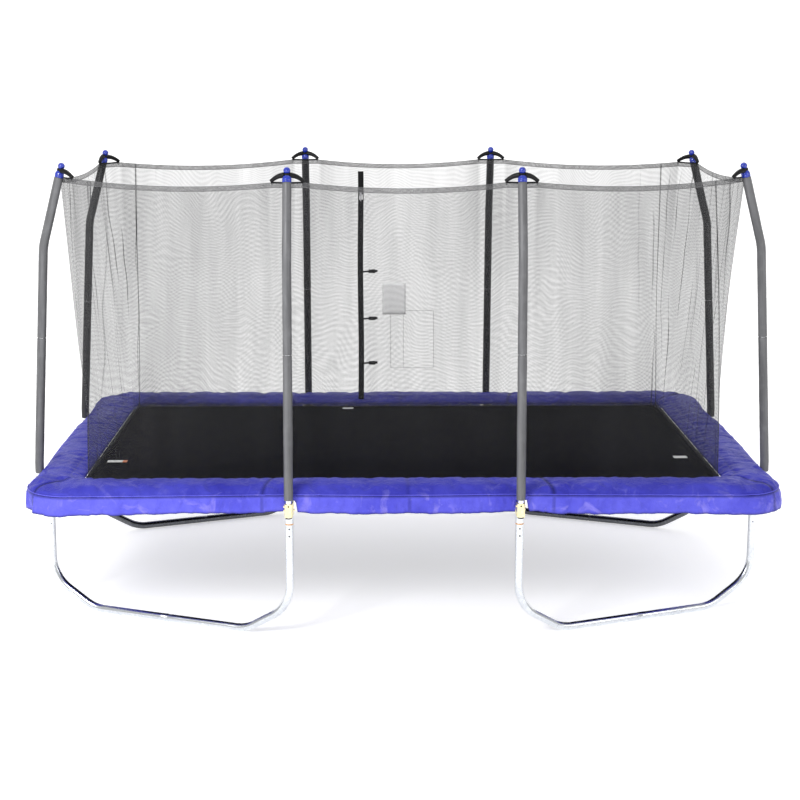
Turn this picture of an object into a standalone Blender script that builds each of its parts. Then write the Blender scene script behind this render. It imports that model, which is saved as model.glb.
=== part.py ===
"""A rectangular garden trampoline with a safety net round its mat. Metres, +Z up, +X along the long sides.

Four U-shaped legs cut the corners of a tube frame. A bracket on each of the eight uprights holds a net pole
in a foam sleeve. The mat hangs in the frame on springs, under a padded cover.
"""

import math

import bmesh
import bpy
from mathutils import Vector

# Frame, measured to the rail's centre line.
FRAME_HALF_X = 2.261
FRAME_HALF_Y = 1.346
RAIL_Z = 0.905
RAIL_RADIUS = 0.025
FRAME_CORNER = 0.22
TUBE_WALL = 0.0015
SIDES = 8
FACET = math.cos(math.pi / SIDES)
LONG_RAIL_END = 0.600
SHORT_RAIL_END = 0.660
PLUG_LENGTH = 0.070
PLUG_RADIUS = 0.0231

# Legs. Each one spans a corner, from an upright under a long side to one under a short side.
UPRIGHT_X = 0.697
UPRIGHT_Y = 0.768
UPRIGHT_TOP = 0.8775
SPIGOT_BOTTOM = 0.800
LEG_KNEE_Z = 0.205
LEG_KNEE_RUN = 0.300
KNEE_RADIUS = 0.240
HEEL_RADIUS = 0.250

# Net poles, each in the vertical plane that runs inwards from its upright.
POLE_OFFSET = 0.064
POLE_RADIUS = 0.019
POLE_BOTTOM = 0.780
POLE_LEAN_Z = 0.960
POLE_LEAN = math.radians(3.2)
POLE_BEND_Z = 2.350
POLE_TILT = math.radians(14.5)
POLE_TOP = 2.800
POLE_BEND_RADIUS = 0.400
SLEEVE_RADIUS = 0.028
SLEEVE_WALL = 0.0087
SLEEVE_BOTTOM = 0.893
COLLAR_DROP = 0.020

# Bracket, a folded plate round the upright and the pole.
BRACKET_BOTTOM = 0.790
BRACKET_HEIGHT = 0.083
BRACKET_PLATE = 0.002

# Mat, springs and padded cover.
MAT_HALF_X = 1.985
MAT_HALF_Y = 1.070
MAT_CORNER = 0.100
MAT_TOP = 0.909
MAT_THICK = 0.006
SPRINGS_LONG = 24
SPRINGS_SHORT = 13
SPRING_RADIUS = 0.0105
HEM_ROD_RADIUS = 0.003
PAD_OUT_X = 2.293
PAD_OUT_Y = 1.378
PAD_IN_X = 2.010
PAD_IN_Y = 1.095
PAD_CORNER = 0.250
PAD_UNDER = 0.9335
PAD_TOP = 0.962
PAD_ROUND = 0.022
SKIRT_BOTTOM = 0.810
SKIRT_WALL = 0.004

# Net, its hangers and its door.
NET_WALL = 0.003
NET_BOTTOM = 0.9095
NET_INSET = 0.010
NET_SAG = 0.035
NET_COLUMNS = 6
NET_ROWS = 5
HEM_HEIGHT = 0.032
HANGER_HALF = 0.0975
HANGER_SET_IN = 0.036
HANGER_TURN = math.radians(35)
HANGER_DROP = 0.022
HANGER_BAR = 0.005
DOOR_X = -0.281
STRIP_WIDTH = 0.040
STRIP_THICK = 0.004
STRIP_BOTTOM = 0.965
STRIP_TOP = 2.690
SLIDER_Z = 2.520
BUCKLE_HEIGHTS = (1.940, 1.583, 1.244)
BUCKLE_X = DOOR_X + 0.092

for old in list(bpy.data.objects):
    bpy.data.objects.remove(old, do_unlink=True)

parts = bpy.data.collections.new("trampoline")
helpers = bpy.data.collections.new("cutters")
bpy.context.scene.collection.children.link(parts)
bpy.context.scene.collection.children.link(helpers)


def make_material(name, colour, roughness, metallic=0.0):
    material = bpy.data.materials.new(name)
    material.use_nodes = True
    shader = material.node_tree.nodes["Principled BSDF"]
    shader.inputs["Base Color"].default_value = (*colour, 1.0)
    shader.inputs["Roughness"].default_value = roughness
    shader.inputs["Metallic"].default_value = metallic
    return material


GALVANISED = make_material("galvanised_steel", (0.66, 0.68, 0.70), 0.32, 1.0)
POLE_STEEL = make_material("pole_steel", (0.70, 0.71, 0.72), 0.30, 1.0)
YELLOW_ZINC = make_material("yellow_zinc", (0.72, 0.66, 0.38), 0.35, 1.0)
SPRING_STEEL = make_material("spring_steel", (0.60, 0.61, 0.63), 0.35, 1.0)
SLEEVE_VINYL = make_material("sleeve_vinyl", (0.045, 0.047, 0.052), 0.45)
CAP_BLUE = make_material("cap_blue", (0.012, 0.045, 0.42), 0.22)
PAD_BLUE = make_material("pad_blue", (0.055, 0.060, 0.44), 0.38)
MAT_BLACK = make_material("mat_black", (0.012, 0.012, 0.014), 0.75)
NET_BLACK = make_material("net_black", (0.020, 0.020, 0.022), 0.80)
STRIP_BLACK = make_material("strip_black", (0.012, 0.012, 0.013), 0.65)
BUCKLE_BLACK = make_material("buckle_black", (0.015, 0.015, 0.016), 0.35)
SLIDER_METAL = make_material("slider_metal", (0.62, 0.62, 0.64), 0.30, 1.0)


def add_object(name, data, material=None, helper=False):
    obj = bpy.data.objects.new(name, data)
    (helpers if helper else parts).objects.link(obj)
    if material:
        data.materials.append(material)
    if helper:
        obj.hide_render = True
        obj.display_type = "WIRE"
    return obj


def rounded(points, radii, steps=4):
    """The polyline with each inner corner turned into an arc of its radius."""
    path = [Vector(points[0])]
    for before, corner, after, radius in zip(points, points[1:], points[2:], radii):
        corner = Vector(corner)
        back = (Vector(before) - corner).normalized()
        on = (Vector(after) - corner).normalized()
        half = back.angle(on) / 2
        reach = radius / math.tan(half)
        centre = corner + (back + on).normalized() * radius / math.sin(half)
        first = corner + back * reach - centre
        last = corner + on * reach - centre
        turn = first.angle(last)
        for step in range(steps + 1):
            share = step / steps
            arm = first * math.sin((1 - share) * turn) + last * math.sin(share * turn)
            path.append(centre + arm / math.sin(turn))
    path.append(Vector(points[-1]))
    return path


def tube(
    name, points, radius, wall, material,
    factors=None, closed=False, sides=SIDES, helper=False, roll=0.0,
):
    """A round bar along the points, or a hollow tube where a wall is given."""
    curve = bpy.data.curves.new(name, "CURVE")
    curve.dimensions = "3D"
    curve.resolution_u = 1
    curve.bevel_depth = radius
    curve.bevel_resolution = (sides - 4) // 2
    curve.use_fill_caps = wall is None
    spline = curve.splines.new("POLY")
    spline.points.add(len(points) - 1)
    spline.use_cyclic_u = closed
    for index, point in enumerate(points):
        spline.points[index].co = (*point, 1.0)
        spline.points[index].tilt = math.pi / sides + roll
        spline.points[index].radius = factors[index] if factors else 1.0
    obj = add_object(name, curve, material, helper)
    if wall is not None:
        shell = obj.modifiers.new("wall", "SOLIDIFY")
        shell.thickness = wall
        shell.offset = -1.0
    return obj


def as_mesh(obj):
    """The same object with its curve and modifiers made into a mesh."""
    bpy.context.view_layer.update()
    graph = bpy.context.evaluated_depsgraph_get()
    mesh = bpy.data.meshes.new_from_object(obj.evaluated_get(graph))
    name = obj.name
    home = obj.users_collection[0]
    hidden = obj.hide_render
    bpy.data.objects.remove(obj, do_unlink=True)
    solid = bpy.data.objects.new(name, mesh)
    home.objects.link(solid)
    solid.hide_render = hidden
    if hidden:
        solid.display_type = "WIRE"
    return solid


def boolean(obj, other, operation):
    cut = obj.modifiers.new(other.name, "BOOLEAN")
    cut.operation = operation
    cut.solver = "EXACT"
    cut.object = other


def plate(name, outline, height, material, helper=False):
    """A flat outline in the XY plane, extruded to the height about its middle."""
    curve = bpy.data.curves.new(name, "CURVE")
    curve.dimensions = "2D"
    curve.fill_mode = "BOTH"
    curve.extrude = height / 2
    spline = curve.splines.new("POLY")
    spline.points.add(len(outline) - 1)
    spline.use_cyclic_u = True
    for index, (x, y) in enumerate(outline):
        spline.points[index].co = (x, y, 0.0, 1.0)
    return add_object(name, curve, material, helper)


def rounded_rectangle(half_x, half_y, radius, steps=5):
    """Anticlockwise outline, starting at the front right corner."""
    outline = []
    for corner, (sign_x, sign_y) in enumerate(((1, -1), (1, 1), (-1, 1), (-1, -1))):
        centre_x = sign_x * (half_x - radius)
        centre_y = sign_y * (half_y - radius)
        for step in range(steps + 1):
            angle = math.pi / 2 * (corner - 1 + step / steps)
            outline.append((centre_x + radius * math.cos(angle), centre_y + radius * math.sin(angle)))
    return outline


def turned(name, profile, steps, material):
    """A profile of (radius, height) pairs, from the top down its outer side, turned about Z."""
    mesh = bpy.data.meshes.new(name)
    shape = bmesh.new()
    verts = [shape.verts.new((radius, 0.0, height)) for radius, height in profile]
    for first, second in zip(verts, verts[1:]):
        shape.edges.new((first, second))
    shape.to_mesh(mesh)
    shape.free()
    obj = add_object(name, mesh, material)
    spin = obj.modifiers.new("turn", "SCREW")
    spin.steps = steps
    spin.render_steps = steps
    spin.use_merge_vertices = True
    spin.merge_threshold = 0.00001
    spin.use_smooth_shade = True
    return obj


def box(name, size, material=None, helper=False, bevel=0.0):
    mesh = bpy.data.meshes.new(name)
    shape = bmesh.new()
    bmesh.ops.create_cube(shape, size=1.0)
    bmesh.ops.scale(shape, vec=size, verts=shape.verts)
    shape.to_mesh(mesh)
    shape.free()
    obj = add_object(name, mesh, material, helper)
    if bevel:
        edge = obj.modifiers.new("edge", "BEVEL")
        edge.width = bevel
        edge.segments = 1
    return obj


# One entry for each upright: name, its place and the direction inwards from it.
UPRIGHTS = [
    ("front_left", Vector((-UPRIGHT_X, -FRAME_HALF_Y, 0)), Vector((0, 1, 0))),
    ("front_right", Vector((UPRIGHT_X, -FRAME_HALF_Y, 0)), Vector((0, 1, 0))),
    ("right_front", Vector((FRAME_HALF_X, -UPRIGHT_Y, 0)), Vector((-1, 0, 0))),
    ("right_back", Vector((FRAME_HALF_X, UPRIGHT_Y, 0)), Vector((-1, 0, 0))),
    ("back_right", Vector((UPRIGHT_X, FRAME_HALF_Y, 0)), Vector((0, -1, 0))),
    ("back_left", Vector((-UPRIGHT_X, FRAME_HALF_Y, 0)), Vector((0, -1, 0))),
    ("left_back", Vector((-FRAME_HALF_X, UPRIGHT_Y, 0)), Vector((1, 0, 0))),
    ("left_front", Vector((-FRAME_HALF_X, -UPRIGHT_Y, 0)), Vector((1, 0, 0))),
]
UP = Vector((0, 0, 1))

# Frame rails. A corner rail has two welded spigots, which the leg uprights slide onto.
SWAGE = PLUG_RADIUS / RAIL_RADIUS
for corner, sign_x, sign_y in (
    ("front_left", -1, -1), ("front_right", 1, -1), ("back_right", 1, 1), ("back_left", -1, 1)
):
    name = "corner_rail_" + corner
    path = rounded(
        [
            (sign_x * LONG_RAIL_END, sign_y * FRAME_HALF_Y, RAIL_Z),
            (sign_x * FRAME_HALF_X, sign_y * FRAME_HALF_Y, RAIL_Z),
            (sign_x * FRAME_HALF_X, sign_y * SHORT_RAIL_END, RAIL_Z),
        ],
        [FRAME_CORNER],
        6,
    )
    rail = as_mesh(tube(name, path, RAIL_RADIUS, TUBE_WALL, GALVANISED))
    for place in ((sign_x * UPRIGHT_X, sign_y * FRAME_HALF_Y), (sign_x * FRAME_HALF_X, sign_y * UPRIGHT_Y)):
        spigot_path = [(*place, RAIL_Z - 0.008), (*place, SPIGOT_BOTTOM)]
        spigot_name = "spigot_%s_%d" % (corner, round(abs(place[0]) * 1000))
        roll = -math.atan2(sign_y * (UPRIGHT_Y - FRAME_HALF_Y), sign_x * (FRAME_HALF_X - UPRIGHT_X))
        spigot = tube(spigot_name, spigot_path, PLUG_RADIUS, TUBE_WALL, GALVANISED, helper=True, roll=roll)
        spigot = as_mesh(spigot)
        boolean(rail, spigot, "UNION")

for name, half, across in (
    ("long_rail_front", LONG_RAIL_END, -FRAME_HALF_Y),
    ("long_rail_back", LONG_RAIL_END, FRAME_HALF_Y),
    ("short_rail_left", SHORT_RAIL_END, -FRAME_HALF_X),
    ("short_rail_right", SHORT_RAIL_END, FRAME_HALF_X),
):
    runs = [half - 0.004, half + 0.0004, half + PLUG_LENGTH]
    runs = [-run for run in reversed(runs)] + runs
    if name.startswith("long"):
        path = [(run, across, RAIL_Z) for run in runs]
    else:
        path = [(across, run, RAIL_Z) for run in runs]
    tube(name, path, RAIL_RADIUS, TUBE_WALL, GALVANISED, [SWAGE, SWAGE, 1.0, 1.0, SWAGE, SWAGE])

# Legs: two bent tubes each. The one from the long side plugs into the one from the short side.
BASE_Z = RAIL_RADIUS * FACET
for sign_x, sign_y, corner in (
    (-1, -1, "front_left"), (1, -1, "front_right"), (1, 1, "back_right"), (-1, 1, "back_left")
):
    long_foot = Vector((sign_x * UPRIGHT_X, sign_y * FRAME_HALF_Y, 0))
    short_foot = Vector((sign_x * FRAME_HALF_X, sign_y * UPRIGHT_Y, 0))
    middle = (long_foot + short_foot) / 2
    for end, foot in (("long", long_foot), ("short", short_foot)):
        along = (middle - foot).normalized()
        reach = (middle - foot).length
        path = rounded(
            [
                foot + UP * UPRIGHT_TOP,
                foot + UP * LEG_KNEE_Z,
                foot + along * LEG_KNEE_RUN + UP * BASE_Z,
                foot + along * (reach - 0.005) + UP * BASE_Z,
            ],
            [KNEE_RADIUS, HEEL_RADIUS],
        )
        factors = [1.0] * len(path)
        if end == "long":
            path.append(foot + along * (reach - 0.0008) + UP * BASE_Z)
            path.append(foot + along * (reach + PLUG_LENGTH) + UP * BASE_Z)
            factors += [SWAGE, SWAGE]
        else:
            path[-1] = foot + along * (reach - 0.0002) + UP * BASE_Z
        roll = -math.atan2(along.y, along.x)
        tube("leg_%s_%s" % (corner, end), path, RAIL_RADIUS, TUBE_WALL, GALVANISED, factors, roll=roll)


def pole_line(foot, inward):
    """The pole's centre line from its foot to its top, and its direction at the top."""
    start = foot - inward * POLE_OFFSET
    bend_in = math.tan(POLE_LEAN) * (POLE_BEND_Z - POLE_LEAN_Z)
    top_in = bend_in + math.tan(POLE_TILT) * (POLE_TOP - POLE_BEND_Z)
    path = [start + UP * POLE_BOTTOM]
    path += rounded(
        [
            start + UP * POLE_LEAN_Z,
            start + inward * bend_in + UP * POLE_BEND_Z,
            start + inward * top_in + UP * POLE_TOP,
        ],
        [POLE_BEND_RADIUS],
    )
    return path, (path[-1] - path[-2]).normalized()


# Poles, their foam sleeves, their caps and the brackets that hold them to the uprights.
BALL_CENTRE = 0.052
BALL_RADIUS = 0.0215
cap_profile = [(0.0, BALL_CENTRE + BALL_RADIUS)]
for step in range(1, 6):
    angle = math.radians(30 * step)
    cap_profile.append((BALL_RADIUS * math.sin(angle), BALL_CENTRE + BALL_RADIUS * math.cos(angle)))
cap_profile[-1] = (0.010, 0.0325)
cap_profile += [(0.010, 0.022), (0.021, 0.018), (0.027, 0.008), (0.029, -0.004), (0.027, -COLLAR_DROP)]
cap_profile += [(0.0201, -COLLAR_DROP), (0.0201, 0.0005), (0.0, 0.0005)]

top_frames = {}
for name, foot, inward in UPRIGHTS:
    path, lean = pole_line(foot, inward)
    tube("pole_" + name, path, POLE_RADIUS, TUBE_WALL, POLE_STEEL)
    sleeve_path = [path[0].copy()] + path[1:]
    sleeve_path[0].z = SLEEVE_BOTTOM
    sleeve_path[-1] = path[-1] - lean * (COLLAR_DROP + 0.0005)
    tube("sleeve_" + name, sleeve_path, SLEEVE_RADIUS, SLEEVE_WALL, SLEEVE_VINYL)
    cap = turned("cap_" + name, cap_profile, 12, CAP_BLUE)
    cap.location = path[-1]
    cap.rotation_euler = lean.to_track_quat("Z", "Y").to_euler()
    top_frames[name] = (path[-1], lean, inward)

    pole_at = POLE_OFFSET
    front = pole_at + POLE_RADIUS + 0.0005
    outer = [(-0.012, 0.0275), (0.030, 0.0275), (front - 0.004, 0.0232), (front + BRACKET_PLATE, 0.0180)]
    inner = [(front, 0.0160), (front - 0.006, 0.0208), (0.030, 0.0255), (-0.012, 0.0255)]
    half = outer + [(x, -y) for x, y in reversed(outer)]
    outline = half + [(x, -y) for x, y in reversed(inner)] + inner
    bracket = as_mesh(plate("bracket_" + name, outline, BRACKET_HEIGHT, YELLOW_ZINC))
    bolts = bpy.data.meshes.new("bolts_" + name)
    shape = bmesh.new()
    for x, side, z in ((0.0, 1, -0.018), (0.0, -1, -0.018), (pole_at, 1, 0.022), (pole_at, -1, 0.022)):
        made = bmesh.ops.create_cone(
            shape, cap_ends=True, segments=6, radius1=0.0065, radius2=0.0065, depth=0.008
        )
        wall_y = 0.0300 if x == 0.0 else 0.0268
        for vert in made["verts"]:
            vert.co = Vector((vert.co.x + x, side * wall_y + vert.co.z, vert.co.y + z))
    bmesh.ops.recalc_face_normals(shape, faces=shape.faces)
    shape.to_mesh(bolts)
    shape.free()
    bolt_heads = add_object("bolts_" + name, bolts, YELLOW_ZINC, helper=True)
    turn = math.atan2(-inward.y, -inward.x)
    for obj in (bracket, bolt_heads):
        obj.location = foot + UP * (BRACKET_BOTTOM + BRACKET_HEIGHT / 2)
        obj.rotation_euler = (0.0, 0.0, turn)
    boolean(bracket, bolt_heads, "UNION")

# Mat.
mat = plate("mat", rounded_rectangle(MAT_HALF_X, MAT_HALF_Y, MAT_CORNER), MAT_THICK, MAT_BLACK)
mat.location = (0.0, 0.0, MAT_TOP - MAT_THICK / 2)

# Springs, from the rod in the mat's hem to just inside the frame rail.
SPRING_Z = MAT_TOP - MAT_THICK / 2
ROD_OUT = 0.0085
rod_path = [
    (x, y, SPRING_Z) for x, y in rounded_rectangle(MAT_HALF_X + ROD_OUT, MAT_HALF_Y + ROD_OUT, MAT_CORNER)
]
springs = as_mesh(tube("springs", rod_path, HEM_ROD_RADIUS, None, SPRING_STEEL, closed=True, sides=6))
ends = []
RAIL_IN_X = FRAME_HALF_X - RAIL_RADIUS - 0.0025
RAIL_IN_Y = FRAME_HALF_Y - RAIL_RADIUS - 0.0025
for index in range(SPRINGS_LONG):
    share = (index + 0.5) / SPRINGS_LONG * 2 - 1
    for sign in (-1, 1):
        ends.append(((share * 1.90, sign * (MAT_HALF_Y + ROD_OUT)), (share * 1.93, sign * RAIL_IN_Y)))
for index in range(SPRINGS_SHORT):
    share = (index + 0.5) / SPRINGS_SHORT * 2 - 1
    for sign in (-1, 1):
        ends.append(((sign * (MAT_HALF_X + ROD_OUT), share * 0.98), (sign * RAIL_IN_X, share * 1.01)))
for sign_x in (-1, 1):
    for sign_y in (-1, 1):
        lean_in = MAT_CORNER * (1 - math.sqrt(0.5)) - ROD_OUT
        lean_out = FRAME_CORNER * (1 - math.sqrt(0.5)) + (RAIL_RADIUS + 0.004) * math.sqrt(0.5)
        start = (sign_x * (MAT_HALF_X - lean_in), sign_y * (MAT_HALF_Y - lean_in))
        ends.append((start, (sign_x * (FRAME_HALF_X - lean_out), sign_y * (FRAME_HALF_Y - lean_out))))
coils = bpy.data.meshes.new("coils")
shape = bmesh.new()
for start, stop in ends:
    run = Vector(stop).to_3d() - Vector(start).to_3d()
    made = bmesh.ops.create_cone(
        shape, cap_ends=True, segments=5, radius1=SPRING_RADIUS, radius2=SPRING_RADIUS, depth=run.length
    )
    middle = (Vector(start).to_3d() + Vector(stop).to_3d()) / 2 + UP * SPRING_Z
    turn = run.to_track_quat("Z", "Y").to_matrix()
    for vert in made["verts"]:
        vert.co = turn @ vert.co + middle
shape.to_mesh(coils)
shape.free()
boolean(springs, add_object("coils", coils, SPRING_STEEL, helper=True), "UNION")

# Padded cover: a flat ring with a skirt round its outer edge, notched at the brackets.
cover = as_mesh(
    plate("pad", rounded_rectangle(PAD_OUT_X, PAD_OUT_Y, PAD_CORNER), PAD_TOP - SKIRT_BOTTOM, PAD_BLUE)
)
cover.location = (0.0, 0.0, (PAD_TOP + SKIRT_BOTTOM) / 2)
shape = bmesh.new()
shape.from_mesh(cover.data)
rim_z = max(vert.co.z for vert in shape.verts) - 0.0001
rim = []
for edge in shape.edges:
    level_edge = min(vert.co.z for vert in edge.verts) > rim_z
    if level_edge and any(abs(face.normal.z) < 0.5 for face in edge.link_faces):
        rim.append(edge)
bmesh.ops.bevel(shape, geom=rim, offset=PAD_ROUND, segments=2, profile=0.5, affect="EDGES")
shape.to_mesh(cover.data)
shape.free()
UNDERCUT = PAD_UNDER - SKIRT_BOTTOM + 0.02
under = as_mesh(
    plate(
        "pad_underside",
        rounded_rectangle(PAD_OUT_X - SKIRT_WALL, PAD_OUT_Y - SKIRT_WALL, PAD_CORNER - SKIRT_WALL),
        UNDERCUT, PAD_BLUE, helper=True,
    )
)
under.location = (0.0, 0.0, PAD_UNDER - UNDERCUT / 2)
hole = as_mesh(
    plate("pad_hole", rounded_rectangle(PAD_IN_X, PAD_IN_Y, MAT_CORNER), 0.3, PAD_BLUE, helper=True)
)
hole.location = (0.0, 0.0, PAD_TOP)
notches = bpy.data.meshes.new("pad_notches")
shape = bmesh.new()
NOTCH_TOP = BRACKET_BOTTOM + BRACKET_HEIGHT + 0.010
for name, foot, inward in UPRIGHTS:
    made = bmesh.ops.create_cube(shape, size=1.0)
    sideways = Vector((abs(inward.y), abs(inward.x), 0))
    size = sideways * 0.074 + Vector((abs(inward.x), abs(inward.y), 0)) * 0.08 + UP * (NOTCH_TOP - 0.79)
    for vert in made["verts"]:
        vert.co = foot - inward * 0.03 + UP * (NOTCH_TOP + 0.79) / 2 + vert.co * size
shape.to_mesh(notches)
shape.free()
notch = add_object("pad_notches", notches, PAD_BLUE, helper=True)
for cutter in (under, hole, notch):
    boolean(cover, cutter, "DIFFERENCE")


def hanger_tips(name):
    """The two lower corners of a pole's hanger, in order round the net, and its middle."""
    top, lean, inward = top_frames[name]
    sideways = inward.cross(UP)
    level = top - lean * HANGER_DROP
    middle = level + inward * HANGER_SET_IN
    spread = sideways * HANGER_HALF
    if abs(inward.x) > 0.5:
        # On the short sides the net pulls each hanger round, its corner end inwards.
        swing = math.copysign(math.sin(HANGER_TURN), sideways.y * top.y)
        spread = (sideways * math.cos(HANGER_TURN) + inward * swing) * HANGER_HALF
        middle = level + inward * (HANGER_SET_IN / math.cos(HANGER_TURN) + 0.001)
    return middle - spread, middle + spread


# Net. Its top runs from hanger to hanger, and its foot follows the mat's edge.
ORDER = [name for name, _, _ in UPRIGHTS]
columns = []
NET_HALF_X = MAT_HALF_X - NET_INSET
NET_HALF_Y = MAT_HALF_Y - NET_INSET


def foot_walk(start, stop, share):
    """The point at this share of the way round the mat's edge from start to stop, past any corner between."""
    points = [start]
    if abs(start.x - stop.x) > 0.5 and abs(start.y - stop.y) > 0.05:
        corner_x = math.copysign(NET_HALF_X, start.x + stop.x)
        corner_y = math.copysign(NET_HALF_Y, start.y + stop.y)
        corner = Vector((corner_x, corner_y, start.z))
        points = rounded([start, corner, stop], [MAT_CORNER], 5)
    else:
        points.append(stop)
    lengths = [(b - a).length for a, b in zip(points, points[1:])]
    left = share * sum(lengths)
    for a, b, length in zip(points, points[1:], lengths):
        if left <= length + 1e-9:
            return a + (b - a) * min(1.0, left / length)
        left -= length
    return points[-1]


def foot_under(tip):
    """The point of the mat's edge below a hanger's corner."""
    if abs(tip.x) > 1.5:
        return Vector((math.copysign(NET_HALF_X, tip.x), tip.y, NET_BOTTOM))
    return Vector((tip.x, math.copysign(NET_HALF_Y, tip.y), NET_BOTTOM))


for index, name in enumerate(ORDER):
    first, second = hanger_tips(name)
    following, _ = hanger_tips(ORDER[(index + 1) % len(ORDER)])
    columns.append((first, foot_under(first)))
    for step in range(NET_COLUMNS):
        share = step / NET_COLUMNS
        top = second.lerp(following, share)
        top.z -= NET_SAG * 4 * share * (1 - share)
        columns.append((top, foot_walk(foot_under(second), foot_under(following), share)))

net_mesh = bpy.data.meshes.new("net")
shape = bmesh.new()
bmesh.ops.create_grid(shape, x_segments=len(columns), y_segments=NET_ROWS, size=1.0)
grid = sorted(shape.verts, key=lambda vert: (round(vert.co.y, 4), vert.co.x))
for index, vert in enumerate(grid):
    row, column = divmod(index, len(columns) + 1)
    top, foot = columns[column % len(columns)]
    if row == NET_ROWS:
        vert.co = top
    else:
        hem = foot.lerp(top, 1.0 - HEM_HEIGHT / (top - foot).length)
        vert.co = foot.lerp(hem, row / (NET_ROWS - 1))
bmesh.ops.remove_doubles(shape, verts=shape.verts, dist=0.0001)
bmesh.ops.recalc_face_normals(shape, faces=shape.faces)
shape.to_mesh(net_mesh)
shape.free()
net = add_object("net", net_mesh, NET_BLACK)
cloth = net.modifiers.new("wall", "SOLIDIFY")
cloth.thickness = NET_WALL
cloth.offset = 0.0
RING_RADIUS = 0.016
RING_HEIGHT = 0.027
for name in ORDER:
    top, lean, inward = top_frames[name]
    first, second = hanger_tips(name)
    sideways = inward.cross(UP)
    spread = (second - first).normalized()
    root = (spread - lean * spread.dot(lean)).normalized()
    across = lean.cross(sideways)
    ring_path = []
    for step in range(10):
        angle = 2 * math.pi * step / 10
        arm = sideways * math.cos(angle) + across * math.sin(angle)
        ring_path.append(top + lean * RING_HEIGHT + arm * RING_RADIUS)
    ring = tube("ring_" + name, ring_path, HANGER_BAR, None, NET_BLACK, closed=True, sides=6, helper=True)
    ring = as_mesh(ring)
    neck = top + lean * RING_HEIGHT
    arm_path = [
        neck - root * RING_RADIUS,
        neck - root * 0.050 - lean * 0.008 + inward * 0.012,
        first,
        second,
        neck + root * 0.050 - lean * 0.008 + inward * 0.012,
        neck + root * RING_RADIUS,
    ]
    arms = as_mesh(tube("arms_" + name, arm_path, HANGER_BAR, None, NET_BLACK, sides=6, helper=True))
    boolean(net, ring, "UNION")
    boolean(net, arms, "UNION")

# Door strip on the back panel's inner face, with its slider and three buckles.
door_share = (UPRIGHT_X - HANGER_HALF - DOOR_X) / (2 * (UPRIGHT_X - HANGER_HALF))
_, span_start = hanger_tips("back_right")
span_stop, _ = hanger_tips("back_left")
door_top = span_start.lerp(span_stop, door_share)
door_top.z -= NET_SAG * 4 * door_share * (1 - door_share)
door_foot = Vector((DOOR_X, NET_HALF_Y, NET_BOTTOM))
door_line = (door_top - door_foot).normalized()
door_inward = Vector((1, 0, 0)).cross(door_line)
if door_inward.y > 0:
    door_inward = door_inward * -1.0
DOOR_TURN = math.atan2(-door_line.y, door_line.z)


def on_door(z, inward, x=DOOR_X):
    """The point of the door line at this height, moved inwards by this much."""
    point = door_foot.lerp(door_top, (z - door_foot.z) / (door_top.z - door_foot.z))
    point.x = x
    return point + door_inward * inward


STRIP_IN = NET_WALL / 2 + 0.0015 + STRIP_THICK / 2
strip_foot = on_door(STRIP_BOTTOM, STRIP_IN)
strip_head = on_door(STRIP_TOP, STRIP_IN)
strip_length = (strip_head - strip_foot).length
strip = box("zip_strip", (STRIP_WIDTH, STRIP_THICK, strip_length), STRIP_BLACK, bevel=0.0008)
strip.location = (strip_foot + strip_head) / 2
strip.rotation_euler = (DOOR_TURN, 0.0, 0.0)

SLIDER_IN = STRIP_IN + STRIP_THICK / 2 + 0.0005
slider = box("zip_slider", (0.018, 0.008, 0.026), SLIDER_METAL, bevel=0.0015)
tab = box("slider_tab", (0.010, 0.003, 0.050), SLIDER_METAL, helper=True)
slider.location = on_door(SLIDER_Z, SLIDER_IN + 0.004)
tab.location = on_door(SLIDER_Z - 0.028, SLIDER_IN + 0.0055)
for obj in (slider, tab):
    obj.rotation_euler = (DOOR_TURN, 0.0, 0.0)
boolean(slider, tab, "UNION")

BUCKLE_LENGTH = 0.036
BUCKLE_THICK = 0.012
BUCKLE_TALL = 0.028
TONGUE = 0.0215
BUCKLE_IN = NET_WALL / 2 + 0.0015 + BUCKLE_THICK / 2
for number, height in enumerate(BUCKLE_HEIGHTS, 1):
    size = (BUCKLE_LENGTH, BUCKLE_THICK, BUCKLE_TALL)
    body = box("buckle_body_%d" % number, size, BUCKLE_BLACK, bevel=0.002)
    pocket = box("pocket_%d" % number, (0.044, 0.0064, 0.020), helper=True)
    latch = box("buckle_latch_%d" % number, (0.014, BUCKLE_THICK, BUCKLE_TALL), BUCKLE_BLACK, bevel=0.002)
    tongue = box("tongue_%d" % number, (TONGUE + 0.006, 0.0056, 0.0190), helper=True)
    mouth = BUCKLE_X - BUCKLE_LENGTH / 2
    body.location = on_door(height, BUCKLE_IN, BUCKLE_X)
    pocket.location = on_door(height, BUCKLE_IN, mouth)
    latch.location = on_door(height, BUCKLE_IN, mouth - 0.0075)
    tongue.location = on_door(height, BUCKLE_IN, mouth + TONGUE / 2 - 0.0035)
    for obj in (body, pocket, latch, tongue):
        obj.rotation_euler = (DOOR_TURN, 0.0, 0.0)
    boolean(body, pocket, "DIFFERENCE")
    boolean(latch, tongue, "UNION")
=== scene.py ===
"""A rectangular garden trampoline with a net round its mat, as a studio picture. Metres, +Z up."""

import math

import bmesh
import bpy
import numpy as np
from mathutils import Matrix, Vector, noise


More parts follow.
